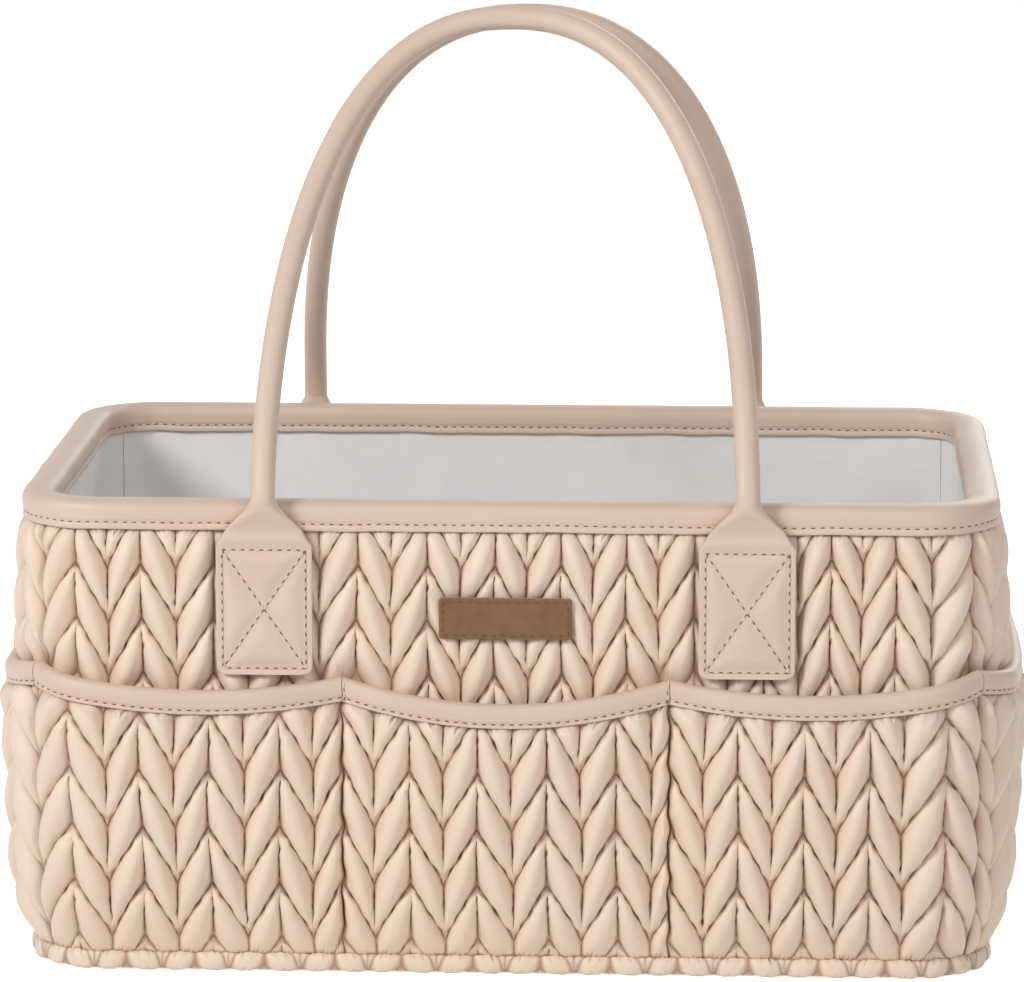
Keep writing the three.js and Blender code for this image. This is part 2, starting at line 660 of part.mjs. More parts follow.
// Rim: one binding that runs round the top of all the walls
const rimProfile = bindingProfile({
  inside: RIM_INSIDE,
  outside: RIM_OUTSIDE,
  height: RIM_BINDING_HEIGHT,
  thickness: RIM_BINDING_THICKNESS,
  crown: RIM_CROWN_RADIUS,
  crownTurns: [0, 45, 90],
});
const rimRings = rimProfile.map(({ x, y }) => wallLoop(x, BODY_HEIGHT + y));
addPiece(caddy, 'rim_binding', loft(rimRings, { closed: true }), smoothLeather);

// Long sides, the back one turned about the middle of the caddy
const stiffenerProfile = rectangle(-STIFFENER_THICKNESS, 0, WALL_BOTTOM, WALL_TOP);
const liningProfile = rectangle(LINING_INSIDE, LINING_OUTSIDE, LINING_BOTTOM, WALL_TOP);
const LABEL_TOP = QUILT_TOP - LABEL_BELOW_RIM;
const LABEL_BOTTOM = LABEL_TOP - LABEL_HEIGHT;
const tabSeats = [-1, 1].map((side) => seat(side * HANDLE_SPAN / 2, TAB_WIDTH, TAB_BOTTOM, QUILT_TOP));
const labelSeat = seat(0, LABEL_WIDTH, LABEL_BOTTOM, LABEL_TOP);
for (const face of ['front', 'back']) {
  const isFront = face === 'front';
  const side = new THREE.Group();
  side.rotation.z = isFront ? 0 : Math.PI;
  caddy.add(side);
  const quilt = wallQuilt({
    side: longSide,
    pocketSeams: [-POCKET_SEAM_X, POCKET_SEAM_X],
    edge: longSideEdge,
    seats: isFront ? [...tabSeats, labelSeat] : tabSeats,
  });
  addPiece(side, `${face}_quilt`, quilt, quiltLeather);
  const stations = panelStations(longSide);
  addPiece(side, `${face}_stiffener`, strip(stations, stiffenerProfile, longSide.place), board);
  addPiece(side, `${face}_lining`, strip(stations, liningProfile, longSide.place), liningCloth);
  const [low, high] = isFront ? ['left', 'right'] : ['right', 'left'];
  for (const [name, pocket] of [[low, leftPocket], ['centre', middlePocket], [high, rightPocket]]) {
    addPiece(side, `${face}_pocket_${name}`, pocketPanel(pocket), quiltLeather);
    addPiece(side, `${face}_pocket_${name}_binding`, pocketBinding(pocket), smoothLeather);
  }
  for (const [name, middle] of [[low, -HANDLE_SPAN / 2], [high, HANDLE_SPAN / 2]]) {
    addPiece(side, `${face}_handle_tab_${name}`, handleTab(middle), smoothLeather);
  }
  const handle = new THREE.Group();
  handle.position.set(0, -HINGE_Y, BODY_HEIGHT);
  side.add(handle);
  addPiece(handle, `${face}_handle_cover`, handleCover(), smoothLeather);
  addPiece(handle, `${face}_handle_core`, handleCore(), cord);
  for (const [name, middle] of [[low, -DIVIDER_X], [high, DIVIDER_X]]) {
    const length = DIVIDER_HEIGHT - DIVIDER_CORNER_RADIUS - TAPE_MARGIN;
    const loop = addPiece(
      side,
      `${face}_${name}_loop_tape`,
      new THREE.BoxGeometry(TAPE_WIDTH, LOOP_TAPE_THICKNESS, length),
      tape,
    );
    const depth = HALF_DEPTH + LINING_INSIDE - FIT - LOOP_TAPE_THICKNESS / 2;
    loop.position.set(middle, -depth, FLOOR_TOP + TAPE_MARGIN + length / 2);
  }
}
const label = addPiece(
  caddy,
  'label',
  roundedPlate(LABEL_WIDTH, LABEL_HEIGHT, LABEL_THICKNESS, [LABEL_CORNER_RADIUS, LABEL_CORNER_RADIUS]),
  suede,
);
label.position.set(0, -(HALF_DEPTH + TAB_BACK), LABEL_BOTTOM);

// Ends, turned a quarter to the right and to the left
for (const [end, quarter] of [['right', 1], ['left', -1]]) {
  const side = new THREE.Group();
  side.rotation.z = quarter * Math.PI / 2;
  caddy.add(side);
  const quilt = wallQuilt({ side: shortSide, pocketSeams: [], edge: endPocket.edge, seats: [] });
  addPiece(side, `${end}_quilt`, quilt, quiltLeather);
  const stations = panelStations(shortSide);
  addPiece(side, `${end}_stiffener`, strip(stations, stiffenerProfile, shortSide.place), board);
  addPiece(side, `${end}_lining`, strip(stations, liningProfile, shortSide.place), liningCloth);
  addPiece(side, `${end}_pocket`, pocketPanel(endPocket), quiltLeather);
  addPiece(side, `${end}_pocket_binding`, pocketBinding(endPocket), smoothLeather);
}

// Dividers: padded panels with hook tape on both upright edges
const hookFace = HALF_DEPTH + RIM_INSIDE - FIT;
const dividerEdge = hookFace - HOOK_TAPE_THICKNESS - FIT;
for (const [name, middle] of [['left', -DIVIDER_X], ['right', DIVIDER_X]]) {
  const divider = new THREE.Group();
  divider.position.set(middle, 0, FLOOR_TOP + FIT);
  caddy.add(divider);
  const cornerRadii = [DIVIDER_FOOT_RADIUS, DIVIDER_CORNER_RADIUS];
  const panel = roundedPlate(2 * dividerEdge, DIVIDER_HEIGHT, DIVIDER_THICKNESS, cornerRadii);
  const panelMesh = addPiece(divider, `divider_${name}_panel`, panel, liningCloth);
  panelMesh.rotation.z = Math.PI / 2;
  panelMesh.position.x = -DIVIDER_THICKNESS / 2;
  for (const [face, outward] of [['front', -1], ['back', 1]]) {
    const length = DIVIDER_HEIGHT - DIVIDER_CORNER_RADIUS - TAPE_MARGIN;
    const hook = addPiece(
      divider,
      `divider_${name}_${face}_hook_tape`,
      new THREE.BoxGeometry(DIVIDER_THICKNESS, HOOK_TAPE_THICKNESS, length),
      tape,
    );
    hook.position.set(0, outward * (hookFace - HOOK_TAPE_THICKNESS / 2), TAPE_MARGIN + length / 2);
  }
}

export default caddy;
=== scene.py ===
import math

import bpy
import numpy as np
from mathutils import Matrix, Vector


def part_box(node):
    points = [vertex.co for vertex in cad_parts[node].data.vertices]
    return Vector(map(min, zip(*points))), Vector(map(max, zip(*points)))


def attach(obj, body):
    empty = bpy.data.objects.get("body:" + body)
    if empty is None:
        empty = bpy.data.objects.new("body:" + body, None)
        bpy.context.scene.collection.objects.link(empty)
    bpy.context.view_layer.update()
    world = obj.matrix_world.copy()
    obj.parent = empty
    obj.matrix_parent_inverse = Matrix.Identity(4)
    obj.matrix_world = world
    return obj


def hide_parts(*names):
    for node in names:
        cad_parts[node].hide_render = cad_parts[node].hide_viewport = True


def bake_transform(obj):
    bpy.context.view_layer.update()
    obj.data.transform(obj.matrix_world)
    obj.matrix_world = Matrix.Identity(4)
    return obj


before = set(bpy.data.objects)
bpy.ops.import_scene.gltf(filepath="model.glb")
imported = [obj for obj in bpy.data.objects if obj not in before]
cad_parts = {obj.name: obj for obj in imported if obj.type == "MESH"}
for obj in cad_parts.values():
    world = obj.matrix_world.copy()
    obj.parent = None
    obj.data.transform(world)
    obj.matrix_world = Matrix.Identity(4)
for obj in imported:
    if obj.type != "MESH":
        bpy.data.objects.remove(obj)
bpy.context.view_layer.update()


# Base board and wall stiffeners: sheets of pressed fibre board, die-cut and slipped between lining
# and quilted skin before the rim is bound. They set the plan that every sewn piece follows.
MM = 0.001  # sizes are in millimetres, meshes in metres


def box_mm(node):
    low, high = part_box(node)
    return np.array(low) / MM, np.array(high) / MM


HALF_WIDTH = box_mm("right_stiffener")[1][0]
HALF_DEPTH = -box_mm("front_stiffener")[0][1]
CORNER_RADIUS = 30.0
FRONT_FLAT = HALF_WIDTH - CORNER_RADIUS
END_FLAT = HALF_DEPTH - CORNER_RADIUS
SKIN_MIDDLE = 6.4  # depth of the quilted skin at which lengths round a corner are true
CORNER_RUN = (CORNER_RADIUS + SKIN_MIDDLE) * math.pi / 2
LONG_END = FRONT_FLAT + CORNER_RUN / 2  # the panels of two sides meet in the middle of a corner
SHORT_END = END_FLAT + CORNER_RUN / 2
HALF_LOOP = 2 * (FRONT_FLAT + CORNER_RUN + END_FLAT)


def quarter_turned(points, quarters):
    """Points turned about the caddy's middle by whole quarters."""
    cosine, sine = ((1, 0), (0, 1), (-1, 0), (0, -1))[quarters]
    x, y, z = np.moveaxis(points, -1, 0)
    return np.stack([cosine * x - sine * y, sine * x + cosine * y, z], axis=-1)


def side_map(flat, neighbour_flat, quarters):
    """Gives points on a side and on round its corners: run to the right, offset outwards."""
    def place_on(run, offset, height):
        run, offset, height = np.broadcast_arrays(run, offset, height)
        along = np.abs(run)
        turn = np.clip((along - flat) / CORNER_RUN, 0, 1) * math.pi / 2
        reach = CORNER_RADIUS + offset
        x = np.sign(run) * (np.minimum(along, flat) + reach * np.sin(turn))
        y = np.maximum(along - flat - CORNER_RUN, 0) - neighbour_flat - reach * np.cos(turn)
        return quarter_turned(np.stack([x, y, height], axis=-1), quarters)

    return place_on


on_front = side_map(FRONT_FLAT, END_FLAT, 0)
on_right = side_map(END_FLAT, FRONT_FLAT, 1)
on_back = side_map(FRONT_FLAT, END_FLAT, 2)
on_left = side_map(END_FLAT, FRONT_FLAT, 3)


def around(run, offset, height):
    """Point on the whole way round, starting from the middle of the left end."""
    lap = np.mod(run, 2 * HALF_LOOP)
    behind = np.broadcast_to(lap >= HALF_LOOP, np.broadcast_shapes(np.shape(lap), np.shape(height)))
    points = on_front(np.mod(lap, HALF_LOOP) - HALF_LOOP / 2, offset, height)
    return np.where(behind[..., None], quarter_turned(points, 2), points)


def colour(code):
    """Linear colour of an sRGB hex value."""
    shares = [int(code[i:i + 2], 16) / 255 for i in (1, 3, 5)]
    linear = [s / 12.92 if s <= 0.04045 else ((s + 0.055) / 1.055) ** 2.4 for s in shares]
    return (*linear, 1.0)


def add_node(tree, kind, settings, inputs):
    """Adds a node; an input is either a value or the output socket that feeds it."""
    node = tree.nodes.new(kind)
    for name, value in settings.items():
        setattr(node, name, value)
    for socket, value in inputs.items():
        if isinstance(value, bpy.types.NodeSocket):
            tree.links.new(value, node.inputs[socket])
        else:
            node.inputs[socket].default_value = value
    return node


def per_metre(size):
    """Texture scale at which one cell of a pattern is size millimetres wide."""
    return 1 / (size * MM)


def new_material(name):
    material = bpy.data.materials.new(name)
    material.use_nodes = True
    material.node_tree.nodes.clear()
    place = material.node_tree.nodes.new("ShaderNodeTexCoord").outputs["Object"]
    return material, material.node_tree, place


# Pressed fibre board: matt grey-brown, with a cloudy mix of pale and dark fibres.
FIBRE_CLUMP = 2.5
fibre_board, tree, place = new_material("fibre_board_pressed")
clumps = add_node(tree, "ShaderNodeTexNoise", {}, {"Vector": place, "Scale": per_metre(FIBRE_CLUMP)})
tint = add_node(tree, "ShaderNodeMix", {"data_type": "RGBA"}, {
    0: clumps.outputs["Fac"], 6: colour("#8f8779"), 7: colour("#b3aa9a")})
dents = add_node(tree, "ShaderNodeBump", {}, {
    "Height": clumps.outputs["Fac"], "Strength": 0.3, "Distance": 0.2 * MM})
shader = add_node(tree, "ShaderNodeBsdfPrincipled", {}, {
    "Base Color": tint.outputs[2], "Normal": dents.outputs["Normal"], "Roughness": 0.9, "IOR": 1.5})
add_node(tree, "ShaderNodeOutputMaterial", {}, {"Surface": shader.outputs[0]})

for name in ("base_board", "front_stiffener", "back_stiffener", "left_stiffener", "right_stiffener"):
    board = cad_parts[name]
    board.data.materials.clear()
    board.data.materials.append(fibre_board)


# Base pad: the quilted skin's own cloth, faux leather stitched over wadding in rows of leaves, cut
# to the plan of the base, rolled up round its edge and sewn to the foot of the walls.
LEAF_WIDTH = 14.0
LEAF_PITCH = 22.0
LEAF_DROP = 25.0  # from the tip of a leaf on one upright seam to its tip on the next
LEAF_BEND = 0.22  # how far the slanting seams swing into the valleys
LEAF_KINDS = 8
LEAF_START = 4.8  # height of the loose leaf before the wadding pushes it out
LEAF_RIPPLE = 0.16  # unevenness of its wadding
LEAF_SWELL = 1.12
LEAF_FULLNESS = (0.92, 1.04)  # least and most of a single leaf's height
LEAF_HEIGHT = 6.6  # of a leaf packed firm
LEAF_FIRMNESS = 0.65  # share of the firm shape, with steep sides
LEAF_HOLLOW = 0.8  # how far a leaf sinks at its two blunt corners, beside the tips of its neighbours
HOLLOW_START = 0.25  # of the way from the leaf's long diagonal to such a corner
SETTLING_FRAMES = 30
SLACK_WAVES = 6
SLACK_LENGTHS = np.array([22, 45])  # of the shortest waves along and up
FULL_TURN = 6.28  # about one, in radians, for waves that start anywhere
SEAM_WANDER = 1.3  # sideways, of upright seams sewn by eye
SEAM_FREEDOM = 12.0  # from a panel's end to where its seams may wander in full
SEAM_PLAY = 5.5  # a seam that comes this near to a panel's end is drawn on to it
END_STEPS = np.array([0, 0.5, 1.2, 2.0])  # closer lines where a panel rolls down into its end seam
EVEN_FEED = np.zeros((3, 1))  # no seam lies off the lattice
EDGE_MARGIN = 0.25  # a point nearer than this to a panel's edge is left out
CREASE_DEPTH = 2.8  # height above a seam below which the skin counts as creased and takes painted shade
ACROSS_STEPS = 12
ALONG_STEPS = 16
ACROSS = (1 - np.cos(np.pi * np.arange(ACROSS_STEPS + 1) / ACROSS_STEPS)) / 2
ALONG = (1 - np.cos(np.pi * np.arange(ALONG_STEPS + 1) / ALONG_STEPS)) / 2


def climb(share):
    """Share of a leaf's drop that a slanting seam has gained, from a valley at 0 to a peak at 1."""
    return share * (1 + LEAF_BEND * (1 - share))


def rounded(distance, radius):
    """Share of full height at a distance from an edge that rolls over with a radius."""
    share = np.clip(distance / radius, 0, 1)
    return np.sqrt(1 - (1 - share) ** 2)


def smooth(share):
    share = np.clip(share, 0, 1)
    return share * share * (3 - 2 * share)


def slack(run, height, draw):
    """Low, broad ripples of cloth that isn't quite taut, from -1 to 1."""
    ripple = 0 * run + 0 * height
    for _ in range(SLACK_WAVES):
        waves = draw.uniform(-1, 1, 2) / SLACK_LENGTHS
        ripple += np.sin(2 * np.pi * (run * waves[0] + height * waves[1]) + draw.uniform(0, FULL_TURN))
    return ripple / SLACK_WAVES


def stuffed_leaves():
    """Shapes of single leaves, from cloth held along its seams and pushed out by the wadding."""
    enlarged = 1 / 30  # the cloth solver is steady at about this size
    apart = 40.0
    across, along = np.meshgrid(ACROSS, ALONG, indexing="ij")
    flat = np.stack([LEAF_WIDTH * across, LEAF_PITCH * along + LEAF_DROP * climb(across), 0 * across], -1)
    pillow = np.sqrt(16 * across * (1 - across) * along * (1 - along))
    held = np.tile((pillow < 1e-6).ravel(), LEAF_KINDS)
    draw = np.random.default_rng(7)
    starts = []
    for kind in range(LEAF_KINDS):
        ripple = 0 * across
        for waves_across in (1, 2, 3):
            for waves_along in (2, 4, 7):
                phase = draw.uniform(0, 2 * np.pi, 2)
                ripple += draw.normal() * (
                    np.sin(waves_across * np.pi * across + phase[0])
                    * np.sin(waves_along * np.pi * along + phase[1]))
        start = flat + np.array([apart * kind, 0, 0])
        start[..., 2] = pillow * (LEAF_START + LEAF_RIPPLE * ripple)
        starts.append(start.reshape(-1, 3))
    size = across.size
    corners = np.arange(size).reshape(across.shape)
    cells = np.stack([corners[:-1, :-1], corners[1:, :-1], corners[1:, 1:], corners[:-1, 1:]], -1)
    faces = (cells.reshape(1, -1, 4) + size * np.arange(LEAF_KINDS)[:, None, None]).reshape(-1, 4)
    mesh = bpy.data.meshes.new("leaf_swatch")
    mesh.from_pydata((np.concatenate(starts) * enlarged).tolist(), [], faces.tolist())
    swatch = bpy.data.objects.new("leaf_swatch", mesh)
    bpy.context.collection.objects.link(swatch)
    seams = swatch.vertex_groups.new(name="seams")
    seams.add(np.flatnonzero(held).tolist(), 1.0, "REPLACE")
    cloth = swatch.modifiers.new("wadding", "CLOTH")
    cloth.collision_settings.use_collision = False
    leather = cloth.settings
    leather.quality = 6
    leather.mass = 0.3
    leather.tension_stiffness = 15
    leather.compression_stiffness = 15
    leather.shear_stiffness = 5
    leather.bending_stiffness = 2
    leather.shrink_min = -0.05
    leather.air_damping = 2
    leather.use_pressure = True
    leather.uniform_pressure_force = 10
    leather.vertex_group_mass = "seams"
    leather.effector_weights.gravity = 0
    for moment in range(1, SETTLING_FRAMES + 1):
        bpy.context.scene.frame_set(moment)
    settled = swatch.evaluated_get(bpy.context.evaluated_depsgraph_get())
    points = np.empty(3 * len(mesh.vertices))
    settled.data.vertices.foreach_get("co", points)
    bpy.data.objects.remove(swatch)
    bpy.context.scene.frame_set(1)
    shapes = points.reshape(LEAF_KINDS, *across.shape, 3) / enlarged
    shapes[..., 0] -= apart * np.arange(LEAF_KINDS)[:, None, None]
    shapes -= flat
    slope = LEAF_DROP / LEAF_WIDTH * (1 + LEAF_BEND * (1 - 2 * across))
    beside = LEAF_WIDTH * np.minimum(across, 1 - across)
    above = LEAF_PITCH * np.minimum(along, 1 - along) / np.hypot(1, slope)
    firm = LEAF_HEIGHT * rounded(beside, LEAF_WIDTH / 2) * rounded(above, above.max())
    shapes[..., 2] = (1 - LEAF_FIRMNESS) * LEAF_SWELL * shapes[..., 2] + LEAF_FIRMNESS * firm
    towards_corner = smooth((np.abs(across - along) - HOLLOW_START) / (1 - HOLLOW_START))
    shapes[..., 2] *= 1 - LEAF_HOLLOW * towards_corner
    return shapes


LEAVES = stuffed_leaves()


def make_piece(name, points, faces, material, crease=None, sharp=50):
    """Mesh piece from points in millimetres; crease marks how deep a point lies in a fold, for painted
    shade.
    """
    mesh = bpy.data.meshes.new(name)
    mesh.from_pydata((points * MM).tolist(), [], faces)
    if crease is not None:
        mesh.attributes.new("crease", "FLOAT", "POINT").data.foreach_set("value", crease)
    mesh.shade_smooth()
    mesh.set_sharp_from_angle(angle=math.radians(sharp))
    mesh.materials.append(material)
    piece = bpy.data.objects.new(name, mesh)
    bpy.context.collection.objects.link(piece)
    return piece


def closed_panel(front, inside, below, rims, ring=False):
    """Points and faces of a closed panel. front is lines by steps of points, of which those inside its
    edges are kept; rims are rows of points, one a line, from its lower edge over the back to its upper."""
    lines = front.shape[0]
    count = int(inside.sum())
    rows = count + lines * np.arange(len(rims))[:, None] + np.arange(lines)
    index = np.where(below, rows[0][:, None], rows[-1][:, None])
    index[inside] = np.arange(count)
    here = np.concatenate([index, rows.T[:, ::-1]], axis=1)
    pairs = list(zip(range(lines), range(1, lines)))
    if ring:
        pairs.append((lines - 1, 0))
    faces = []
    for line, following in pairs:
        a, b = here[line], here[following]
        for quad in zip(a[:-1].tolist(), b[:-1].tolist(), b[1:].tolist(), a[1:].tolist()):
            corners = list(dict.fromkeys(quad))
            if len(corners) > 2:
                faces.append(corners)
    if not ring:
        first, last = (list(dict.fromkeys(here[line].tolist())) for line in (0, -1))
        faces.append(first)
        faces.append(last[::-1])
    return np.concatenate([front[inside], *rims]), faces


def quilted(span, low, high, lattice, place_on, press, back, seam, seed,
            levels=(0, 1), skirt=None, ring=False, relief=1.0, feed=EVEN_FEED):
    """Points, faces and creases of a quilted panel between the runs of span and two edges. The lattice
    is the run of one valley, the height of its lowest chevron point and the pitch of the rows; feed
    tells how far its seams lie off that: rows of run, of shift along it and of shift up."""
    start, end = span
    valley, first_row, pitch = lattice
    columns = np.arange(math.floor((start - valley) / LEAF_WIDTH), math.ceil((end - valley) / LEAF_WIDTH))
    lines = valley + ((columns[:, None] + ACROSS[:-1]) * LEAF_WIDTH).ravel()
    even = lines
    free = 1.0
    if not ring:
        nearest = valley + LEAF_WIDTH * np.round((np.array(span) - valley) / LEAF_WIDTH)
        first_line, last_line = np.where(np.abs(nearest - span) < SEAM_PLAY, nearest, span)
        between = lines[(lines > first_line + END_STEPS[-1]) & (lines < last_line - END_STEPS[-1])]
        lines = np.concatenate([first_line + END_STEPS, between, last_line - END_STEPS[::-1]])
        even = lines + np.interp(
            lines, [first_line, first_line + LEAF_WIDTH, last_line - LEAF_WIDTH, last_line],
            [start - first_line, 0, 0, end - last_line])
        free = np.clip(np.minimum(even - start, end - even) / SEAM_FREEDOM, 0, 1)[:, None]
    column = np.floor((lines - valley) / LEAF_WIDTH + 1e-6).astype(int)
    share = (lines - valley) / LEAF_WIDTH - column
    rise = np.where(column % 2 == 0, share, 1 - share).clip(0, 1)
    run = even + np.interp(even, feed[0], feed[1])
    foremost = first_row + np.interp(even, feed[0], feed[2])
    bottom, top = low(run), high(run)
    first = math.floor((bottom.min() - foremost.max() - LEAF_DROP) / pitch)
    last = math.ceil((top.max() - foremost.min()) / pitch)
    row, notch = np.divmod(np.arange((last - first) * ALONG_STEPS + 1), ALONG_STEPS)
    height = (first + row + ALONG[notch]) * pitch + (foremost + LEAF_DROP * climb(rise))[:, None]

    draw = np.random.default_rng(seed)
    shape = (column.max() - column.min() + 1, last - first + 1)
    kinds = draw.integers(0, LEAF_KINDS, shape)[column - column.min()][:, row]
    fullness = draw.uniform(*LEAF_FULLNESS, shape)[column - column.min()][:, row]
    left = np.clip(np.searchsorted(ACROSS, rise, side="right") - 1, 0, ACROSS_STEPS - 1)[:, None]
    part = ((rise - ACROSS[left[:, 0]]) / np.diff(ACROSS)[left[:, 0]])[:, None, None]
    puff = LEAVES[kinds, left, notch] * (1 - part) + LEAVES[kinds, left + 1, notch] * part
    puff *= (relief * press(run[:, None], height) * fullness)[..., None]
    leaning = np.where(column % 2 == 0, 1, -1)[:, None]
    kept = np.clip(height, bottom[:, None], top[:, None]) + puff[..., 1]
    astray = SEAM_WANDER * free * slack(run[:, None], height, draw)
    front = place_on(run[:, None] + leaning * puff[..., 0] + astray, seam + puff[..., 2], kept)

    inside = (height > bottom[:, None] + EDGE_MARGIN) & (height < top[:, None] - EDGE_MARGIN)
    below = height < (bottom + top)[:, None] / 2
    foot = bottom if skirt is None else np.full_like(run, skirt)
    rims = [place_on(run, seam, bottom)]
    if skirt is not None:
        rims.append(place_on(run, seam, foot))
    rims += [place_on(run, back, foot + level * (top - foot)) for level in levels]
    rims.append(place_on(run, seam, top))
    points, faces = closed_panel(front, inside, below, rims, ring)
    # How deep each point lies in a crease; the quilted leather paints shade there by it.
    depth = 1 - np.clip(puff[..., 2] / (relief * CREASE_DEPTH), 0, 1)
    crease = np.concatenate([depth[inside], np.ones(len(run) * len(rims))])
    return points, faces, crease


# Quilted faux leather: a polyurethane skin on knitted backing, embossed with a fine hair-cell grain.
# It gives a soft satin sheen and shallow dents; the stitched creases get warmer, darker painted shade.
GRAIN = 1.1  # real cells are about 0.5 mm; drawn coarser so that they show
CLOUD = 45.0  # across a patch of slightly paler or glossier skin
DENT = 9.0  # across a shallow dent
DENT_DEPTH = 12.0  # of a dent, in depths of the grain
CREASE_SHARPNESS = 2.1  # higher keeps the painted shade to the very bottom of a crease
# strength of the painted shade, a warm brown, in the creases
CREASE_PAINTED_SHADE = 0.8
quilt_leather, tree, place = new_material("polyurethane_leather_quilted")
# Painted shade: a dark warm brown mixed into the skin where a point lies deep in a crease.
fold = add_node(tree, "ShaderNodeAttribute", {"attribute_name": "crease"}, {})
narrow = add_node(tree, "ShaderNodeMath", {"operation": "POWER"}, {
    0: fold.outputs["Fac"], 1: CREASE_SHARPNESS})
clouds = add_node(tree, "ShaderNodeTexNoise", {}, {
    "Vector": place, "Scale": per_metre(CLOUD), "Detail": 3.0})
skin = add_node(tree, "ShaderNodeMix", {"data_type": "RGBA"}, {
    0: clouds.outputs["Fac"], 6: colour("#e1cbb7"), 7: colour("#ead9c8")})
shaded = add_node(tree, "ShaderNodeMath", {"operation": "MULTIPLY"}, {
    0: narrow.outputs[0], 1: CREASE_PAINTED_SHADE})
crease_painted_skin = add_node(tree, "ShaderNodeMix", {"data_type": "RGBA"}, {
    0: shaded.outputs[0], 6: skin.outputs[2], 7: colour("#875b42")})
grain = add_node(tree, "ShaderNodeTexVoronoi", {"feature": "F1"}, {
    "Vector": place, "Scale": per_metre(GRAIN)})
dents = add_node(tree, "ShaderNodeTexNoise", {}, {
    "Vector": place, "Scale": per_metre(DENT), "Detail": 3.0})
surface = add_node(tree, "ShaderNodeMath", {"operation": "MULTIPLY_ADD"}, {
    0: dents.outputs["Fac"], 1: DENT_DEPTH, 2: grain.outputs["Distance"]})
emboss = add_node(tree, "ShaderNodeBump", {}, {
    "Height": surface.outputs[0], "Strength": 0.1, "Distance": 0.12 * MM})
gloss = add_node(tree, "ShaderNodeMapRange", {}, {
    "Value": clouds.outputs["Fac"], "To Min": 0.46, "To Max": 0.58})
shader = add_node(tree, "ShaderNodeBsdfPrincipled", {}, {
    "Base Color": crease_painted_skin.outputs[2], "Roughness": gloss.outputs[0], "Normal": emboss.outputs["Normal"],
    "IOR": 1.48})
add_node(tree, "ShaderNodeOutputMaterial", {}, {"Surface": shader.outputs[0]})

BASE_REACH = box_mm("base_quilt")[1][0] - HALF_WIDTH
BASE_HEIGHT = box_mm("base_quilt")[1][2]
ROLL_RELIEF = 0.14  # how far the leaves stand out on the rolled edge, as a share of a wall's
UNDER_RELIEF = 0.4
PAD_BACK = -2.0  # depth of the pad's inner face below its seams
FLOOR_GAP = 0.2  # the pad is pressed flat where it would reach the floor
ROLL_LATTICE = (0.0, -9.0, LEAF_PITCH)
ROLL_BACK_STEPS = (0, 0.35, 0.65, 1)
ROLL_SEAM_ROUNDING = 3.5
ROLL_TUCK_ROUNDING = 6
ROLL_RADIUS = BASE_HEIGHT / 2 - 0.8
ROLL_REACH = BASE_REACH + 2.4  # the wadding swells beyond the board
ROLL_SQUARENESS = 3.0
ROLL_TURN = math.pi * ROLL_RADIUS
ROLL_TUCK = 12.0  # length that lies under the base
ROLL_LAP = 4.4  # of the underside over that length
ROLL_LEAVES = 2 * round(HALF_LOOP / LEAF_WIDTH)


def on_roll(run, depth, down):
    """Point on the base's rolled edge: down is measured over the roll from the wall seam."""
    turn = np.clip(down, 0, ROLL_TURN) / ROLL_RADIUS
    under = np.maximum(down - ROLL_TURN, 0)
    out = np.abs(np.sin(turn)) ** (2 / ROLL_SQUARENESS)
    up = np.sign(np.cos(turn)) * np.abs(np.cos(turn)) ** (2 / ROLL_SQUARENESS)
    offset = ROLL_REACH - ROLL_RADIUS + (ROLL_RADIUS + depth) * out - under
    height = BASE_HEIGHT / 2 + (ROLL_RADIUS + depth) * up
    true_run = run * 2 * HALF_LOOP / (ROLL_LEAVES * LEAF_WIDTH)
    return around(true_run, offset, np.maximum(height, FLOOR_GAP))


def roll_press(run, down):
    tucked = rounded(down + ROLL_TURN + ROLL_TUCK, ROLL_TUCK_ROUNDING)
    return rounded(-down, ROLL_SEAM_ROUNDING) * tucked


points, faces, crease = quilted(
    (0, ROLL_LEAVES * LEAF_WIDTH), lambda run: 0 * run - ROLL_TURN - ROLL_TUCK, lambda run: 0 * run,
    ROLL_LATTICE, lambda run, depth, up: on_roll(run, depth, -up), roll_press, back=PAD_BACK, seam=0.0,
    seed=1, levels=ROLL_BACK_STEPS, ring=True, relief=ROLL_RELIEF)
roll = make_piece("base_rolled_edge", points, faces, quilt_leather, crease)

UNDER_HALF_WIDTH = HALF_WIDTH + ROLL_REACH - ROLL_RADIUS - ROLL_TUCK + ROLL_LAP
UNDER_HALF_DEPTH = HALF_DEPTH + ROLL_REACH - ROLL_RADIUS - ROLL_TUCK + ROLL_LAP
UNDER_CORNER = 24.0
UNDER_FACE = 2.4  # height of the underside's seams
UNDER_SEAM = 0.2
UNDER_GAP = 0.25  # between the underside and the floor
UNDER_EASE = 0.5  # spare depth, so that the corners stay open
UNDER_LATTICE = (0.0, 0.0, LEAF_PITCH)
UNDER_ROUNDING = 4


def round_cornered(run, half_width, half_depth, corner):
    """Half the depth, at a run, of a flat piece with round corners."""
    into = np.maximum(np.abs(run) - half_width + corner, 0)
    return half_depth - corner + np.sqrt(np.maximum(corner ** 2 - into ** 2, 0))


def under_edge(run):
    return round_cornered(run, UNDER_HALF_WIDTH, UNDER_HALF_DEPTH, UNDER_CORNER) + UNDER_EASE


def on_underside(run, depth, across):
    run, across = np.broadcast_arrays(run, across)
    return np.stack([run, -across, np.maximum(UNDER_FACE - depth, UNDER_GAP) + 0 * run], axis=-1)


def under_press(run, across):
    aside = rounded(UNDER_HALF_WIDTH - np.abs(run), UNDER_ROUNDING)
    return aside * rounded(under_edge(run) - np.abs(across), UNDER_ROUNDING)


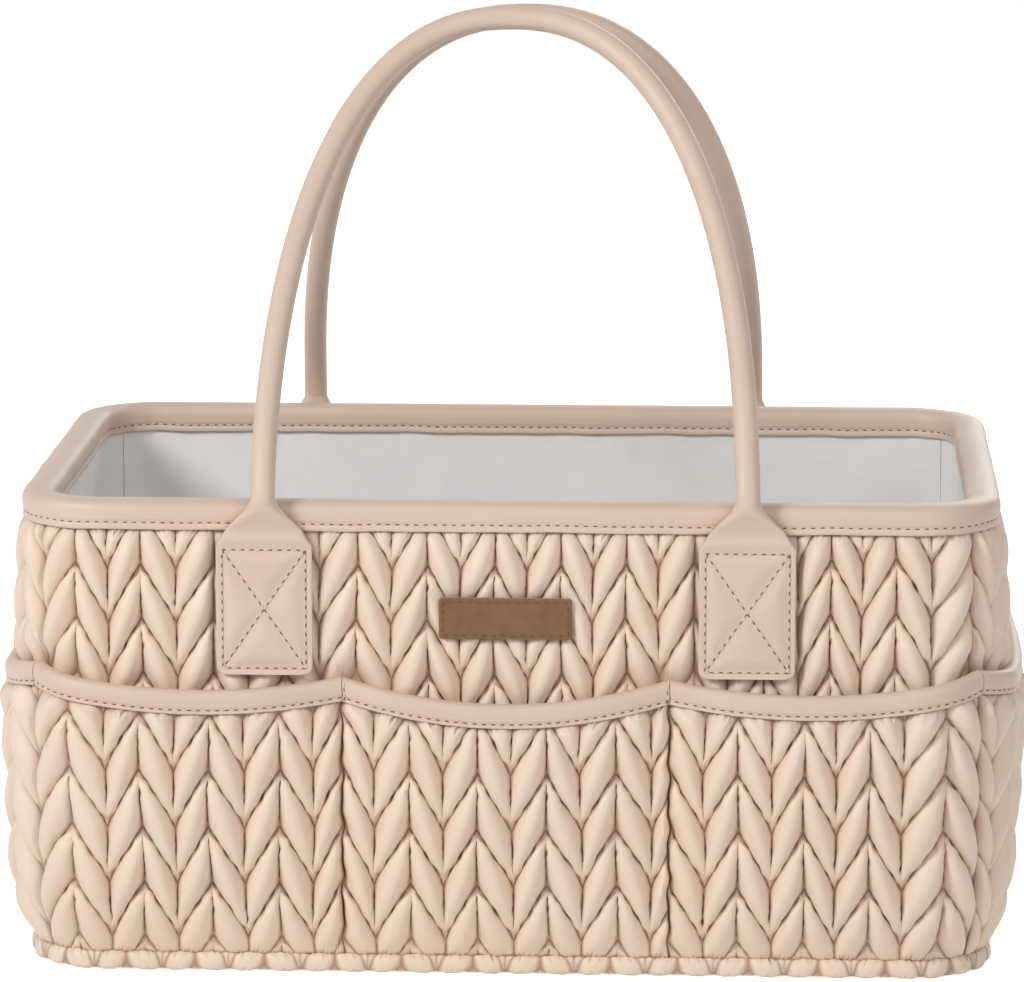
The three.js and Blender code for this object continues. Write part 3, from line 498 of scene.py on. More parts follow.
points, faces, crease = quilted(
    (-UNDER_HALF_WIDTH, UNDER_HALF_WIDTH), lambda run: -under_edge(run), under_edge, UNDER_LATTICE,
    on_underside, under_press, back=PAD_BACK, seam=UNDER_SEAM, seed=2, relief=UNDER_RELIEF)
underside = make_piece("base_underside", points, faces, quilt_leather, crease)

for pad in (roll, underside):
    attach(pad, "caddy")
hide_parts("base_quilt")


# Walls: four panels of the leaf-quilted faux leather, seamed to each other in the middle of the rounded
# corners; tabs, label and pockets are sewn through them, which presses the wadding flat.
WALL_BOTTOM = BASE_HEIGHT + 0.3
RIM_BOTTOM = box_mm("rim_binding")[0][2]
WALL_FACE = 3.5  # from the stiffener to where the pockets lie on the wall
WALL_SEAM = 2.4  # from the stiffener to the bottom of the stitched seams
WALL_BACK = 0.3
WALL_LATTICE = (5.8, 12.0, 22.4)
WALL_BEHIND = 15.0  # how far the leaves go on down behind the pockets
RIM_COVER = 2.5  # height of wall that the rim binding covers
RIM_ROUNDING = 7
SIDE_ROUNDING = 3
SEAM_GAP = 0.15  # half the gap between panels sewn edge to edge
SEWN_PRESS = 0.5  # share of the wadding that a piece sewn on top presses out
SEWN_FADE = 5
POCKET_CLEARANCE = 1
LEAST_ROOM = 0.1  # share of a leaf's height that is left where a pocket lies close
BEHIND_FADE = 9
FRONT_FEED = np.array([
    [-193, -146, -77, -43, 6, 62, 118, 160, 193],
    [0, 0.4, 2.8, 4.4, 2.8, 0, 0, -3, 0],
    [-1.3, -1.3, -1.2, -1, -1, 1, 2.5, 3.5, 3.5]])  # the front was fed a little askew under the needle
FOOT_RISE = 26.0  # height over which the layers are drawn in towards the base seam
FOOT_DRAW = 0.6
END_FULLNESS = 5.0  # how far the end walls lean out above their pockets
FULLNESS_START = 6  # below the pocket's edge
FULLNESS_FADE = 9
SKIN_DEPTH = 1  # points less deep than this lie on the stiffener and don't lean out
POCKET_SEAM_X = 66.3
POCKET_FOOT_STAND = 0.3
POCKET_LEAN = 1.8  # how much further a pocket's top edge stands off the wall than its foot
POCKET_SEAM_HEIGHT = box_mm("front_pocket_centre_binding")[1][2]
POCKET_CORNER_HEIGHT = box_mm("right_pocket_binding")[1][2]
TAB_LOW, TAB_HIGH = box_mm("front_handle_tab_right")
TAB_X = (TAB_LOW[0] + TAB_HIGH[0]) / 2
TAB_WIDTH = TAB_HIGH[0] - TAB_LOW[0]
LABEL_LOW, LABEL_HIGH = box_mm("label")
POCKETS = {
    "left": (-LONG_END, -POCKET_SEAM_X, POCKET_CORNER_HEIGHT, POCKET_SEAM_HEIGHT, 5.8, 8.0),
    "centre": (-POCKET_SEAM_X, POCKET_SEAM_X, POCKET_SEAM_HEIGHT, POCKET_SEAM_HEIGHT, 9.0, 8.0),
    "right": (POCKET_SEAM_X, LONG_END, POCKET_SEAM_HEIGHT, POCKET_CORNER_HEIGHT, 5.8, 8.0),
    "end": (-SHORT_END, SHORT_END, POCKET_CORNER_HEIGHT, POCKET_CORNER_HEIGHT, 10.0, 8.0),
}  # first and last run, height of the top edge at each, its dip and the pocket's bulge


def drawn_in(place_on):
    """The same side with its layers gathered towards the base seam."""
    def place_gathered(run, offset, height):
        loose = np.clip((height - WALL_BOTTOM) / FOOT_RISE, 0, 1)
        return place_on(run, offset * (1 - FOOT_DRAW * (1 - loose) ** 2), height)

    return place_gathered


def pocket_edge(pocket, run):
    start, end, start_height, end_height, dip, _ = POCKETS[pocket]
    share = (run - start) / (end - start)
    return start_height + (end_height - start_height) * share - 4 * dip * share * (1 - share)


def pocket_stand(pocket, run, height):
    """How far a pocket's inner face stands off the wall."""
    start, end, _, _, _, bulge = POCKETS[pocket]
    aside = np.clip((2 * run - start - end) / (end - start), -1, 1)
    up = np.clip((height - WALL_BOTTOM) / (pocket_edge(pocket, run) - WALL_BOTTOM), 0, 1)
    return POCKET_FOOT_STAND + POCKET_LEAN * up + bulge * (1 - aside ** 2) * (1 - (1 - up) ** 2)


def on_long_side(value, run, *more):
    """A value of the middle or outer pocket, whichever covers the run on a long side."""
    outer = value("right", np.abs(run), *more)
    return np.where(np.abs(run) < POCKET_SEAM_X, value("centre", run, *more), outer)


def on_short_side(value, run, *more):
    return value("end", run, *more)


def sewn_under(run, height, middle, half_width, low, high):
    """1 under a piece that is sewn flat on the wall, down to 0 a little way from it."""
    aside = np.maximum(np.abs(run - middle) - half_width, 0)
    above = np.maximum(np.maximum(low - height, height - high), 0)
    return 1 - smooth(np.hypot(aside, above) / SEWN_FADE)


def wall_press(run, height, pocket_of, half_run):
    """Fullness of a wall's leaves: less at the seams, and where a pocket lies close."""
    edge = pocket_of(pocket_edge, run)
    stand = pocket_of(pocket_stand, run, edge)
    room = np.clip((stand - POCKET_CLEARANCE) / LEAF_HEIGHT, LEAST_ROOM, 1)
    behind = 1 - smooth((height - edge - POCKET_CLEARANCE) / BEHIND_FADE)
    press = 1 - behind * (1 - room)
    sides = rounded(half_run - np.abs(run), SIDE_ROUNDING)
    return press * rounded(RIM_BOTTOM - height, RIM_ROUNDING) * sides


def long_wall_press(run, height):
    press = wall_press(run, height, on_long_side, LONG_END)
    for middle in (-TAB_X, TAB_X):
        under_tab = sewn_under(run, height, middle, TAB_WIDTH / 2, TAB_LOW[2], RIM_BOTTOM)
        press = press * (1 - SEWN_PRESS * under_tab)
    return press


def front_wall_press(run, height):
    label_half = (LABEL_HIGH[0] - LABEL_LOW[0]) / 2
    under_label = sewn_under(run, height, 0, label_half, LABEL_LOW[2], LABEL_HIGH[2])
    return long_wall_press(run, height) * (1 - SEWN_PRESS * under_label)


def end_wall_press(run, height):
    return wall_press(run, height, on_short_side, SHORT_END)


def filled_out(place_on):
    """An end whose wall leans out between the rim and the pocket, as a filled caddy's does."""
    def place_fuller(run, offset, height):
        edge = pocket_edge("end", run)
        above = smooth((height - edge + FULLNESS_START) / FULLNESS_FADE)
        fuller = smooth((RIM_BOTTOM - height) / (RIM_BOTTOM - edge)) * above
        fuller = fuller * smooth((SHORT_END - np.abs(run)) / CORNER_RUN)
        return place_on(run, offset + END_FULLNESS * fuller * (offset > SKIN_DEPTH), height)

    return place_fuller


WALLS = {
    "front": (on_front, LONG_END, on_long_side, front_wall_press),
    "right": (filled_out(on_right), SHORT_END, on_short_side, end_wall_press),
    "back": (on_back, LONG_END, on_long_side, long_wall_press),
    "left": (filled_out(on_left), SHORT_END, on_short_side, end_wall_press),
}
for seed, (side, (place_on, half_run, pocket_of, press)) in enumerate(WALLS.items(), start=10):
    points, faces, crease = quilted(
        (-half_run + SEAM_GAP, half_run - SEAM_GAP), lambda run: pocket_of(pocket_edge, run) - WALL_BEHIND,
        lambda run: np.full_like(run, RIM_BOTTOM + RIM_COVER), WALL_LATTICE,
        drawn_in(place_on), press, back=WALL_BACK, seam=WALL_SEAM, seed=seed, skirt=WALL_BOTTOM,
        feed=FRONT_FEED if side == "front" else EVEN_FEED)
    wall = make_piece(f"{side}_quilting", points, faces, quilt_leather, crease)
    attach(wall, "caddy")
    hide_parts(f"{side}_quilt")


# Lining: woven polyester, one piece a wall and one on the floor, sewn into the rim and base seams and
# drawn nearly smooth over the stiffeners.
LINING_OUTSIDE = -4.3
LINING_INSIDE = -5.3
LINING_TOP = RIM_BOTTOM + 4
FLOOR_LOW, FLOOR_HIGH = box_mm("floor_lining")
LINING_BOTTOM = FLOOR_LOW[2] + 0.4
LINING_GAP = 0.3  # half the gap between two linings in a corner
LINING_GIVE = 0.5
FLOOR_GIVE = 0.25

# Woven polyester: a plain weave of pale grey yarn, matt, with the over and under of its threads.
THREAD_SPACING = 1.0  # real yarns are about 0.3 mm apart; drawn coarser so that the weave shows
WAVE_BANDS = 20 / (2 * math.pi)  # in a metre of a wave texture of scale 1; half as many if diagonal
SLUB = 12
lining_cloth, tree, place = new_material("polyester_plain_weave")
warp = add_node(tree, "ShaderNodeTexWave", {"bands_direction": "Z"}, {
    "Vector": place, "Scale": per_metre(THREAD_SPACING) / WAVE_BANDS,
    "Distortion": 0.4, "Detail Scale": 2.0})
weft = add_node(tree, "ShaderNodeTexWave", {"bands_direction": "DIAGONAL"}, {
    "Vector": place, "Scale": 2 * per_metre(THREAD_SPACING) / WAVE_BANDS,
    "Distortion": 0.4, "Detail Scale": 2.0})
weave = add_node(tree, "ShaderNodeMath", {"operation": "MAXIMUM"}, {
    0: warp.outputs["Fac"], 1: weft.outputs["Fac"]})
slub = add_node(tree, "ShaderNodeTexNoise", {}, {
    "Vector": place, "Scale": per_metre(SLUB), "Detail": 4.0})
yarn = add_node(tree, "ShaderNodeMix", {"data_type": "RGBA"}, {
    0: slub.outputs["Fac"], 6: colour("#e3e2e2"), 7: colour("#f0efee")})
threads = add_node(tree, "ShaderNodeBump", {}, {
    "Height": weave.outputs[0], "Strength": 0.25, "Distance": 0.15 * MM})
shader = add_node(tree, "ShaderNodeBsdfPrincipled", {}, {
    "Base Color": yarn.outputs[2], "Normal": threads.outputs["Normal"], "Roughness": 0.85,
    "IOR": 1.5, "Sheen Weight": 0.15, "Sheen Roughness": 0.5})
add_node(tree, "ShaderNodeOutputMaterial", {}, {"Surface": shader.outputs[0]})


def plain_panel(front, below, back):
    """Points and faces of a closed panel without quilting; below tells which steps are in its lower
    half, and back holds rows of points over its back."""
    inside = np.ones(front.shape[:2], bool)
    inside[:, [0, -1]] = False
    rims = [front[:, 0], *back, front[:, -1]]
    return closed_panel(front, inside, np.broadcast_to(below, inside.shape), rims)


for seed, (side, (place_on, half_run, _, _)) in enumerate(WALLS.items(), start=20):
    steps = np.linspace(0, 1, 25)
    run = np.linspace(-half_run + LINING_GAP, half_run - LINING_GAP, round(half_run / 2))
    height = LINING_BOTTOM + (LINING_TOP - LINING_BOTTOM) * steps
    hang = np.sin(np.pi * steps) ** 0.5
    give = LINING_GIVE * hang * slack(run[:, None], height, np.random.default_rng(seed))
    front = place_on(-run[:, None], LINING_INSIDE - give, height)
    back = [place_on(-run, LINING_OUTSIDE, level) for level in (LINING_BOTTOM, LINING_TOP)]
    panel = make_piece(f"{side}_lining_cloth", *plain_panel(front, steps < 0.5, back), lining_cloth)
    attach(panel, "caddy")
    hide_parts(f"{side}_lining")

FLOOR_CORNER = CORNER_RADIUS + LINING_INSIDE
floor_half = FLOOR_HIGH[:2]
run = np.linspace(-floor_half[0] + 0.01, floor_half[0] - 0.01, 101)
reach = round_cornered(run, floor_half[0], floor_half[1], FLOOR_CORNER)
steps = np.linspace(-1, 1, 41)
across = reach[:, None] * steps
give = FLOOR_GIVE * (1 + slack(run[:, None], across, np.random.default_rng(30)))
front = np.stack(np.broadcast_arrays(run[:, None], across, FLOOR_HIGH[2] - give), axis=-1)
back = [np.stack([run, side * reach, 0 * run + FLOOR_LOW[2] + 0.1], axis=-1) for side in (-1, 1)]
floor_cloth = make_piece("floor_lining_cloth", *plain_panel(front, steps < 0, back), lining_cloth)
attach(floor_cloth, "caddy")
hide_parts("floor_lining")


# Rim binding: one strip of plain faux leather folded over the tops of skin, stiffener and lining, with
# a row of lockstitches through all the layers a little above its lower edge.
RIM_TOP = box_mm("rim_binding")[1][2]
RIM_OUTSIDE = box_mm("rim_binding")[1][0] - HALF_WIDTH
RIM_INSIDE = -7.4
RIM_THICKNESS = 1.8
RIM_STITCH_RISE = 2.9
RIM_BELLY = 0.25
STRIP_WRINKLE = 6.0  # across a faint crease in the strip
WRINKLE_DEPTH = 1.5  # of such a crease, in depths of the grain
FOLD_SHARE = 0.4  # of a strip's height, taken up by the fold over the top
FOLD_BLUNTNESS = 0.8
GROOVE_DEPTH = 0.5
GROOVE_WIDTH = 0.8
LIP_DEPTH = 0.45
LIP_RADIUS = 0.8

# Plain faux leather: the same polyurethane skin without wadding, cut in strips. It shows a finer,
# smoother face, a soft satin highlight along folds, and faint creasing across tight turns.
strip_leather, tree, place = new_material("polyurethane_leather_strip")
clouds = add_node(tree, "ShaderNodeTexNoise", {}, {
    "Vector": place, "Scale": per_metre(CLOUD), "Detail": 3.0})
skin = add_node(tree, "ShaderNodeMix", {"data_type": "RGBA"}, {
    0: clouds.outputs["Fac"], 6: colour("#d1b8a5"), 7: colour("#dbc6b5")})
grain = add_node(tree, "ShaderNodeTexVoronoi", {"feature": "F1"}, {
    "Vector": place, "Scale": per_metre(GRAIN)})
wrinkles = add_node(tree, "ShaderNodeTexNoise", {}, {
    "Vector": place, "Scale": per_metre(STRIP_WRINKLE), "Detail": 5.0, "Roughness": 0.6})
surface = add_node(tree, "ShaderNodeMath", {"operation": "MULTIPLY_ADD"}, {
    0: wrinkles.outputs["Fac"], 1: WRINKLE_DEPTH, 2: grain.outputs["Distance"]})
emboss = add_node(tree, "ShaderNodeBump", {}, {
    "Height": surface.outputs[0], "Strength": 0.12, "Distance": 0.15 * MM})
gloss = add_node(tree, "ShaderNodeMapRange", {}, {
    "Value": wrinkles.outputs["Fac"], "To Min": 0.42, "To Max": 0.56})
shader = add_node(tree, "ShaderNodeBsdfPrincipled", {}, {
    "Base Color": skin.outputs[2], "Roughness": gloss.outputs[0], "Normal": emboss.outputs["Normal"],
    "IOR": 1.48})
add_node(tree, "ShaderNodeOutputMaterial", {}, {"Surface": shader.outputs[0]})


def folded_strip(inside, outside, height, thickness, stitch_rise, belly):
    """Section of a binding, as depth and height below its top, from the outer lower edge over the fold
    to the inner one and back up inside. The stitches pull a groove along both faces."""
    fold = FOLD_SHARE * height
    up = np.concatenate([[0, 0.25, 0.7], np.linspace(1.4, height - fold, 14)])
    groove = GROOVE_DEPTH * np.exp(-((up - stitch_rise) / GROOVE_WIDTH) ** 2)
    lip = LIP_DEPTH * (1 - rounded(up, LIP_RADIUS))
    swell = belly * np.sin(np.pi * np.clip((up - stitch_rise) / (height - stitch_rise), 0, 1))
    face = swell - groove - lip
    turn = np.linspace(0, np.pi, 15)[1:-1]
    middle, half = (outside + inside) / 2, (outside - inside) / 2
    aside = np.sign(np.cos(turn)) * np.abs(np.cos(turn)) ** FOLD_BLUNTNESS
    above = np.sign(np.sin(turn)) * np.abs(np.sin(turn)) ** FOLD_BLUNTNESS
    outer = np.stack([outside + face, up - height], axis=-1)
    crown = np.stack([middle + (half + face[-1]) * aside, fold * (above - 1)], axis=-1)
    inner = np.stack([inside - face, up - height], axis=-1)[::-1]
    slot = np.array([
        [inside + thickness, -height], [inside + thickness, -2 * thickness],
        [outside - thickness, -2 * thickness], [outside - thickness, -height]])
    return np.concatenate([outer, crown, inner, slot])


def swept(sections, ring=False):
    """Points and faces of a section carried along a line; sections is stations by points."""
    stations, size = sections.shape[:2]
    index = np.arange(stations * size).reshape(stations, size)
    ahead = np.roll(index, -1, axis=0)
    if not ring:
        index, ahead = index[:-1], ahead[:-1]
    turned, turned_ahead = np.roll(index, -1, axis=1), np.roll(ahead, -1, axis=1)
    faces = np.stack([index, ahead, turned_ahead, turned], axis=-1).reshape(-1, 4).tolist()
    if not ring:
        faces.append(list(range(size)))
        faces.append(list(range((stations - 1) * size, stations * size))[::-1])
    return sections.reshape(-1, 3), faces


WANDER_LENGTHS = (140, 61, 37, 23)
WANDER = 0.12
RIM_WAVES = 9  # of the longest wander, round the whole rim
RIM_SWAY = 0.6  # share of the wander that goes in and out
RIM_DIP = 0.7  # share of it that goes up and down, at the lower edges only
RIM_EDGE = -6  # below this the strip's edges are free to dip


def hand_guided(run, seed):
    """Slight wander of a strip fed by hand, in millimetres."""
    draw = np.random.default_rng(seed)
    wander = 0 * run
    for length in WANDER_LENGTHS:
        wander += WANDER * np.sin(2 * np.pi * run / length + draw.uniform(0, FULL_TURN))
    return wander


rim_section = folded_strip(
    RIM_INSIDE, RIM_OUTSIDE, RIM_TOP - RIM_BOTTOM, RIM_THICKNESS, RIM_STITCH_RISE, RIM_BELLY)
rim_run = np.linspace(0, 2 * HALF_LOOP, 420, endpoint=False)
rim_wander = hand_guided(rim_run * WANDER_LENGTHS[0] * RIM_WAVES / (2 * HALF_LOOP), 41)[:, None]
rim_depth = rim_section[:, 0] + RIM_SWAY * rim_wander
rim_height = RIM_TOP + rim_section[:, 1] + RIM_DIP * rim_wander * (rim_section[:, 1] < RIM_EDGE)
points, faces = swept(around(rim_run[:, None], rim_depth, rim_height), ring=True)
rim = make_piece("rim_binding_strip", points, faces, strip_leather)
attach(rim, "caddy")
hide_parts("rim_binding")

# Bonded polyester sewing thread: two plies twisted, satin, dyed to the piece that it sews.
PLY_TWIST = 0.7


def sewing_thread(name, shade, light):
    yarn, tree, place = new_material(name)
    plies = add_node(tree, "ShaderNodeTexWave", {"bands_direction": "DIAGONAL"}, {
        "Vector": place, "Scale": 2 * per_metre(PLY_TWIST) / WAVE_BANDS})
    dye = add_node(tree, "ShaderNodeMix", {"data_type": "RGBA"}, {
        0: plies.outputs["Fac"], 6: colour(shade), 7: colour(light)})
    twist = add_node(tree, "ShaderNodeBump", {}, {
        "Height": plies.outputs["Fac"], "Strength": 0.4, "Distance": 0.1 * MM})
    shader = add_node(tree, "ShaderNodeBsdfPrincipled", {}, {
        "Base Color": dye.outputs[2], "Normal": twist.outputs["Normal"], "Roughness": 0.5, "IOR": 1.55})
    add_node(tree, "ShaderNodeOutputMaterial", {}, {"Surface": shader.outputs[0]})
    return yarn


leather_thread = sewing_thread("polyester_thread_twisted", "#d6bca8", "#e6d1c0")

# Needle hole: a dull brown mark between two stitches, painted shade for the hole the needle leaves in the
# leather.
FRAY = 0.5
needle_hole_shade, tree, place = new_material("needle_hole_painted_shade")
fray = add_node(tree, "ShaderNodeTexNoise", {}, {"Vector": place, "Scale": per_metre(FRAY)})
dent = add_node(tree, "ShaderNodeMix", {"data_type": "RGBA"}, {
    0: fray.outputs["Fac"], 6: colour("#6f5341"), 7: colour("#886a56")})
shader = add_node(tree, "ShaderNodeBsdfPrincipled", {}, {
    "Base Color": dent.outputs[2], "Roughness": 0.9, "IOR": 1.48})
add_node(tree, "ShaderNodeOutputMaterial", {}, {"Surface": shader.outputs[0]})

STITCH_PITCH = 3.8
STITCH_LENGTH = 2.3
STITCH_SKEW = 0.05
STITCH_LIFT = 0.1  # of a stitch's middle above the leather's face
STITCH_DIVE = 0.3  # of its ends, from there down into the needle holes
HOLE_LIFT = 0.05
HOLE_FLATNESS = 0.35  # a hole's mark of painted shade lies flat in the leather's face, a stitch on it
HOLE_LENGTH = 1.7
THREAD_DIAMETER = 0.7
HOLE_WIDTH = 0.58
SPINDLE = np.array([-0.5, -0.42, -0.2, 0.2, 0.42, 0.5])  # along a stitch, as shares of its length
SPINDLE_GIRTH = np.array([0.3, 0.75, 1.0, 1.0, 0.75, 0.3])
SPINDLE_SIDES = 6
SPINDLE_FACES = (len(SPINDLE) - 1) * SPINDLE_SIDES + 2


def stitches(path, outward, seed, closed=False):
    """Points and faces of a row of stitches, each followed by a flat dark mark of painted shade for its
    needle hole, along a path on leather whose faces look outward."""
    if closed:
        path = np.concatenate([path, path[:1]])
        outward = np.concatenate([outward, outward[:1]])
    travelled = np.concatenate([[0], np.cumsum(np.linalg.norm(np.diff(path, axis=0), axis=1))])
    count = max(1, round(travelled[-1] / STITCH_PITCH))
    pitch = travelled[-1] / count
    middle = ((np.arange(count) + 0.25)[:, None] * pitch + np.array([0, pitch / 2])).ravel()

    def along_path(distance, values):
        return np.stack([np.interp(distance, travelled, values[:, axis]) for axis in range(3)], axis=-1)

    centre = along_path(middle, path)
    ahead = along_path(middle + 1, path) - along_path(middle - 1, path)
    ahead /= np.linalg.norm(ahead, axis=1)[:, None]
    out = along_path(middle, outward)
    beside = np.cross(out, ahead)
    beside /= np.linalg.norm(beside, axis=1)[:, None]
    out = np.cross(ahead, beside)
    skew = np.random.default_rng(seed).normal(0, STITCH_SKEW, len(middle))[:, None]
    ahead = ahead + skew * beside
    is_hole = (np.arange(len(middle)) % 2)[:, None]
    length = SPINDLE * np.where(is_hole, HOLE_LENGTH, STITCH_LENGTH)
    girth = SPINDLE_GIRTH * np.where(is_hole, HOLE_WIDTH, THREAD_DIAMETER) / 2
    lift = np.where(is_hole, HOLE_LIFT, STITCH_LIFT - STITCH_DIVE * (2 * np.abs(SPINDLE)) ** 3)
    turns = 2 * np.pi * np.arange(SPINDLE_SIDES) / SPINDLE_SIDES
    flat = np.where(is_hole, HOLE_FLATNESS, 1.0)[..., None]
    points = (
        centre[:, None, None] + ahead[:, None, None] * length[..., None, None]
        + beside[:, None, None] * (girth[..., None] * np.cos(turns))[..., None]
        + out[:, None, None] * (lift[..., None] + flat * girth[..., None] * np.sin(turns))[..., None])
    ring = np.arange(len(SPINDLE) * SPINDLE_SIDES).reshape(len(SPINDLE), SPINDLE_SIDES)
    sides = np.stack([ring[:-1], ring[1:], np.roll(ring, -1, 1)[1:], np.roll(ring, -1, 1)[:-1]], -1)
    single = [*sides.reshape(-1, 4).tolist(), ring[0].tolist(), ring[-1][::-1].tolist()]
    faces = [[ring.size * i + corner for corner in face] for i in range(len(middle)) for face in single]
    return points.reshape(-1, 3), faces


def joined(parts):
    """One mesh of several."""
    start = 0
    points, faces = [], []
    for part_points, part_faces in parts:
        points.append(part_points)
        faces += [[start + corner for corner in face] for face in part_faces]
        start += len(part_points)
    return np.concatenate(points), faces


def sew(name, rows, yarn=leather_thread):
    """Piece of all the rows of stitches on one part of the caddy, with the painted shade of their needle
    holes.
    """
    sewing = make_piece(name, *joined(rows), yarn)
    sewing.data.materials.append(needle_hole_shade)
    pairs = len(sewing.data.polygons) // (2 * SPINDLE_FACES)
    kinds = np.tile(np.repeat([0, 1], SPINDLE_FACES), pairs)
    sewing.data.polygons.foreach_set("material_index", kinds)
    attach(sewing, "caddy")


RIM_STITCH_SINK = 0.45
rim_faces = ((RIM_OUTSIDE - RIM_STITCH_SINK, 1), (RIM_INSIDE + RIM_STITCH_SINK, -1))
rim_rows = []
for seed, (depth, facing) in enumerate(rim_faces, start=50):
    wander = RIM_SWAY * rim_wander[:, 0]
    height = RIM_BOTTOM + RIM_STITCH_RISE + RIM_DIP * rim_wander[:, 0]
    path = around(rim_run, depth + wander, height)
    outward = facing * (around(rim_run, depth + 1, height) - around(rim_run, depth, height))
    rim_rows.append(stitches(path, outward, seed, closed=True))
sew("rim_stitching", rim_rows)


# Pockets: eight patch pockets of the quilted leather, sewn to the walls down their sides and along the
# foot, cut a little full so that they stand open, and bound along the top with a narrow folded strip.
POCKET_SEAM = 1.9
POCKET_ROWS = (14.6, 23.8)  # height of the lowest chevron points, and the pitch of the rows
POCKET_FOOT = WALL_BOTTOM - 1.6  # the pockets lap over the base seam
POCKET_STRIP_HEIGHT = 9.6
POCKET_STRIP_THICKNESS = 1.5
POCKET_STRIP_INSIDE = -1.8
POCKET_STRIP_OUTSIDE = 5.0
POCKET_STITCH_RISE = 1.7
POCKET_STITCH_SINK = 0.4
POCKET_BELLY = 0.3
POCKET_COVER = 1.5  # height of quilting that the strip covers
POCKET_SWAY = 0.5  # share of a hand-fed strip's wander
TACK_INSET = 0.8  # of the short upright rows that tack down the ends of the middle pocket's strip
TACK_TOP = 1.5
TACK_FOOT = 0.5
TACK_LIFT = 0.1
PUCKER = 0.45  # sideways pull of the seams between pockets
PUCKER_REACH = 9
PUCKER_LONG = 3.1  # height in which the longer of its two waves goes on by one radian
PUCKER_SHORT = 1.7
POCKET_TOP_ROUNDING = 6
POCKET_FOOT_ROUNDING = 5
STRIP_STEP = 2.5  # between two sections of the folded strip
PETAL_RISE = 0.9  # of the foot's edge where an upright seam runs into it


def puckered(run, height):
    """Sideways pull of the seams between a long side's pockets, where two layers are drawn together."""
    near = 1 - smooth(np.abs(np.abs(run) - POCKET_SEAM_X) / PUCKER_REACH)
    return PUCKER * near * (np.sin(height / PUCKER_LONG) + 0.7 * np.sin(height / PUCKER_SHORT + 2))


def make_pocket(name, pocket, place_on, valley, seed, feed=EVEN_FEED):
    start, end = POCKETS[pocket][:2]
    start, end = start + SEAM_GAP, end - SEAM_GAP
    place_gathered = drawn_in(place_on)

    def on_pocket(run, depth, height):
        pulled = run if pocket == "end" else run + puckered(run, height)
        return place_gathered(pulled, WALL_FACE + pocket_stand(pocket, run, height) + depth, height)

    def quilt_top(run):
        return pocket_edge(pocket, run) - POCKET_STRIP_HEIGHT

    def foot(run):
        from_seam = np.abs(np.mod(run - valley + LEAF_WIDTH / 2, LEAF_WIDTH) - LEAF_WIDTH / 2)
        return POCKET_FOOT + PETAL_RISE * (1 - rounded(from_seam, LEAF_WIDTH / 2))

    def pocket_press(run, height):
        sides = rounded(run - start, SIDE_ROUNDING) * rounded(end - run, SIDE_ROUNDING)
        below_strip = rounded(quilt_top(run) - height, POCKET_TOP_ROUNDING)
        return sides * below_strip * rounded(height - foot(run), POCKET_FOOT_ROUNDING)

    points, faces, crease = quilted(
        (start, end), foot, lambda run: quilt_top(run) + POCKET_COVER, (valley, *POCKET_ROWS), on_pocket,
        pocket_press, back=0.0, seam=POCKET_SEAM, seed=seed, levels=np.linspace(0, 1, 7), feed=feed)
    panel = make_piece(f"{name}_quilting", points, faces, quilt_leather, crease)
    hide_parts(name)

    section = folded_strip(
        POCKET_STRIP_INSIDE, POCKET_STRIP_OUTSIDE, POCKET_STRIP_HEIGHT, POCKET_STRIP_THICKNESS,
        POCKET_STITCH_RISE, POCKET_BELLY)
    run = np.linspace(start, end, round((end - start) / STRIP_STEP))
    edge = pocket_edge(pocket, run)
    wander = POCKET_SWAY * hand_guided(run, seed)[:, None]
    points, faces = swept(on_pocket(run[:, None], section[:, 0] + wander, edge[:, None] + section[:, 1]))
    strip = make_piece(f"{name}_binding_strip", points, faces, strip_leather)
    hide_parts(f"{name}_binding")

    def on_strip(run, depth, height):
        path = on_pocket(run, POCKET_STRIP_OUTSIDE + depth, height)
        return path, on_pocket(run, POCKET_STRIP_OUTSIDE + depth + 1, height) - path

    height = edge - POCKET_STRIP_HEIGHT + POCKET_STITCH_RISE
    rows = [stitches(*on_strip(run, wander[:, 0] - POCKET_STITCH_SINK, height), seed)]
    if pocket == "centre":
        for tacked in (start + TACK_INSET, end - TACK_INSET):
            top = pocket_edge(pocket, tacked)
            tack = top - np.linspace(TACK_TOP, POCKET_STRIP_HEIGHT - TACK_FOOT, 8)
            rows.append(stitches(*on_strip(0 * tack + tacked, TACK_LIFT, tack), seed))
    sew(f"{name}_stitching", rows)
    for piece in (panel, strip):
        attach(piece, "caddy")


VALLEYS = {"left": 6.1, "centre": 3.0, "right": 80.6}  # run of a valley in each long side's pocket
END_VALLEY = 2.0
RIGHT_FEED = np.array([
    [66, 81, 108, 134, 161, 193],
    [0, 0, -0.6, -2.5, -4.2, 0],
    [0, 0, 0, 0, 0, 0]])
FACING = {"left": "right", "centre": "centre", "right": "left"}  # the same pocket's name on the back
for seed, (pocket, valley) in enumerate(VALLEYS.items(), start=60):
    feed = RIGHT_FEED if pocket == "right" else EVEN_FEED
    make_pocket(f"front_pocket_{pocket}", pocket, on_front, valley, seed, feed)
    make_pocket(f"back_pocket_{FACING[pocket]}", pocket, on_back, valley, seed + 10)
make_pocket("left_pocket", "end", on_left, END_VALLEY, 80)
make_pocket("right_pocket", "end", on_right, END_VALLEY, 81)


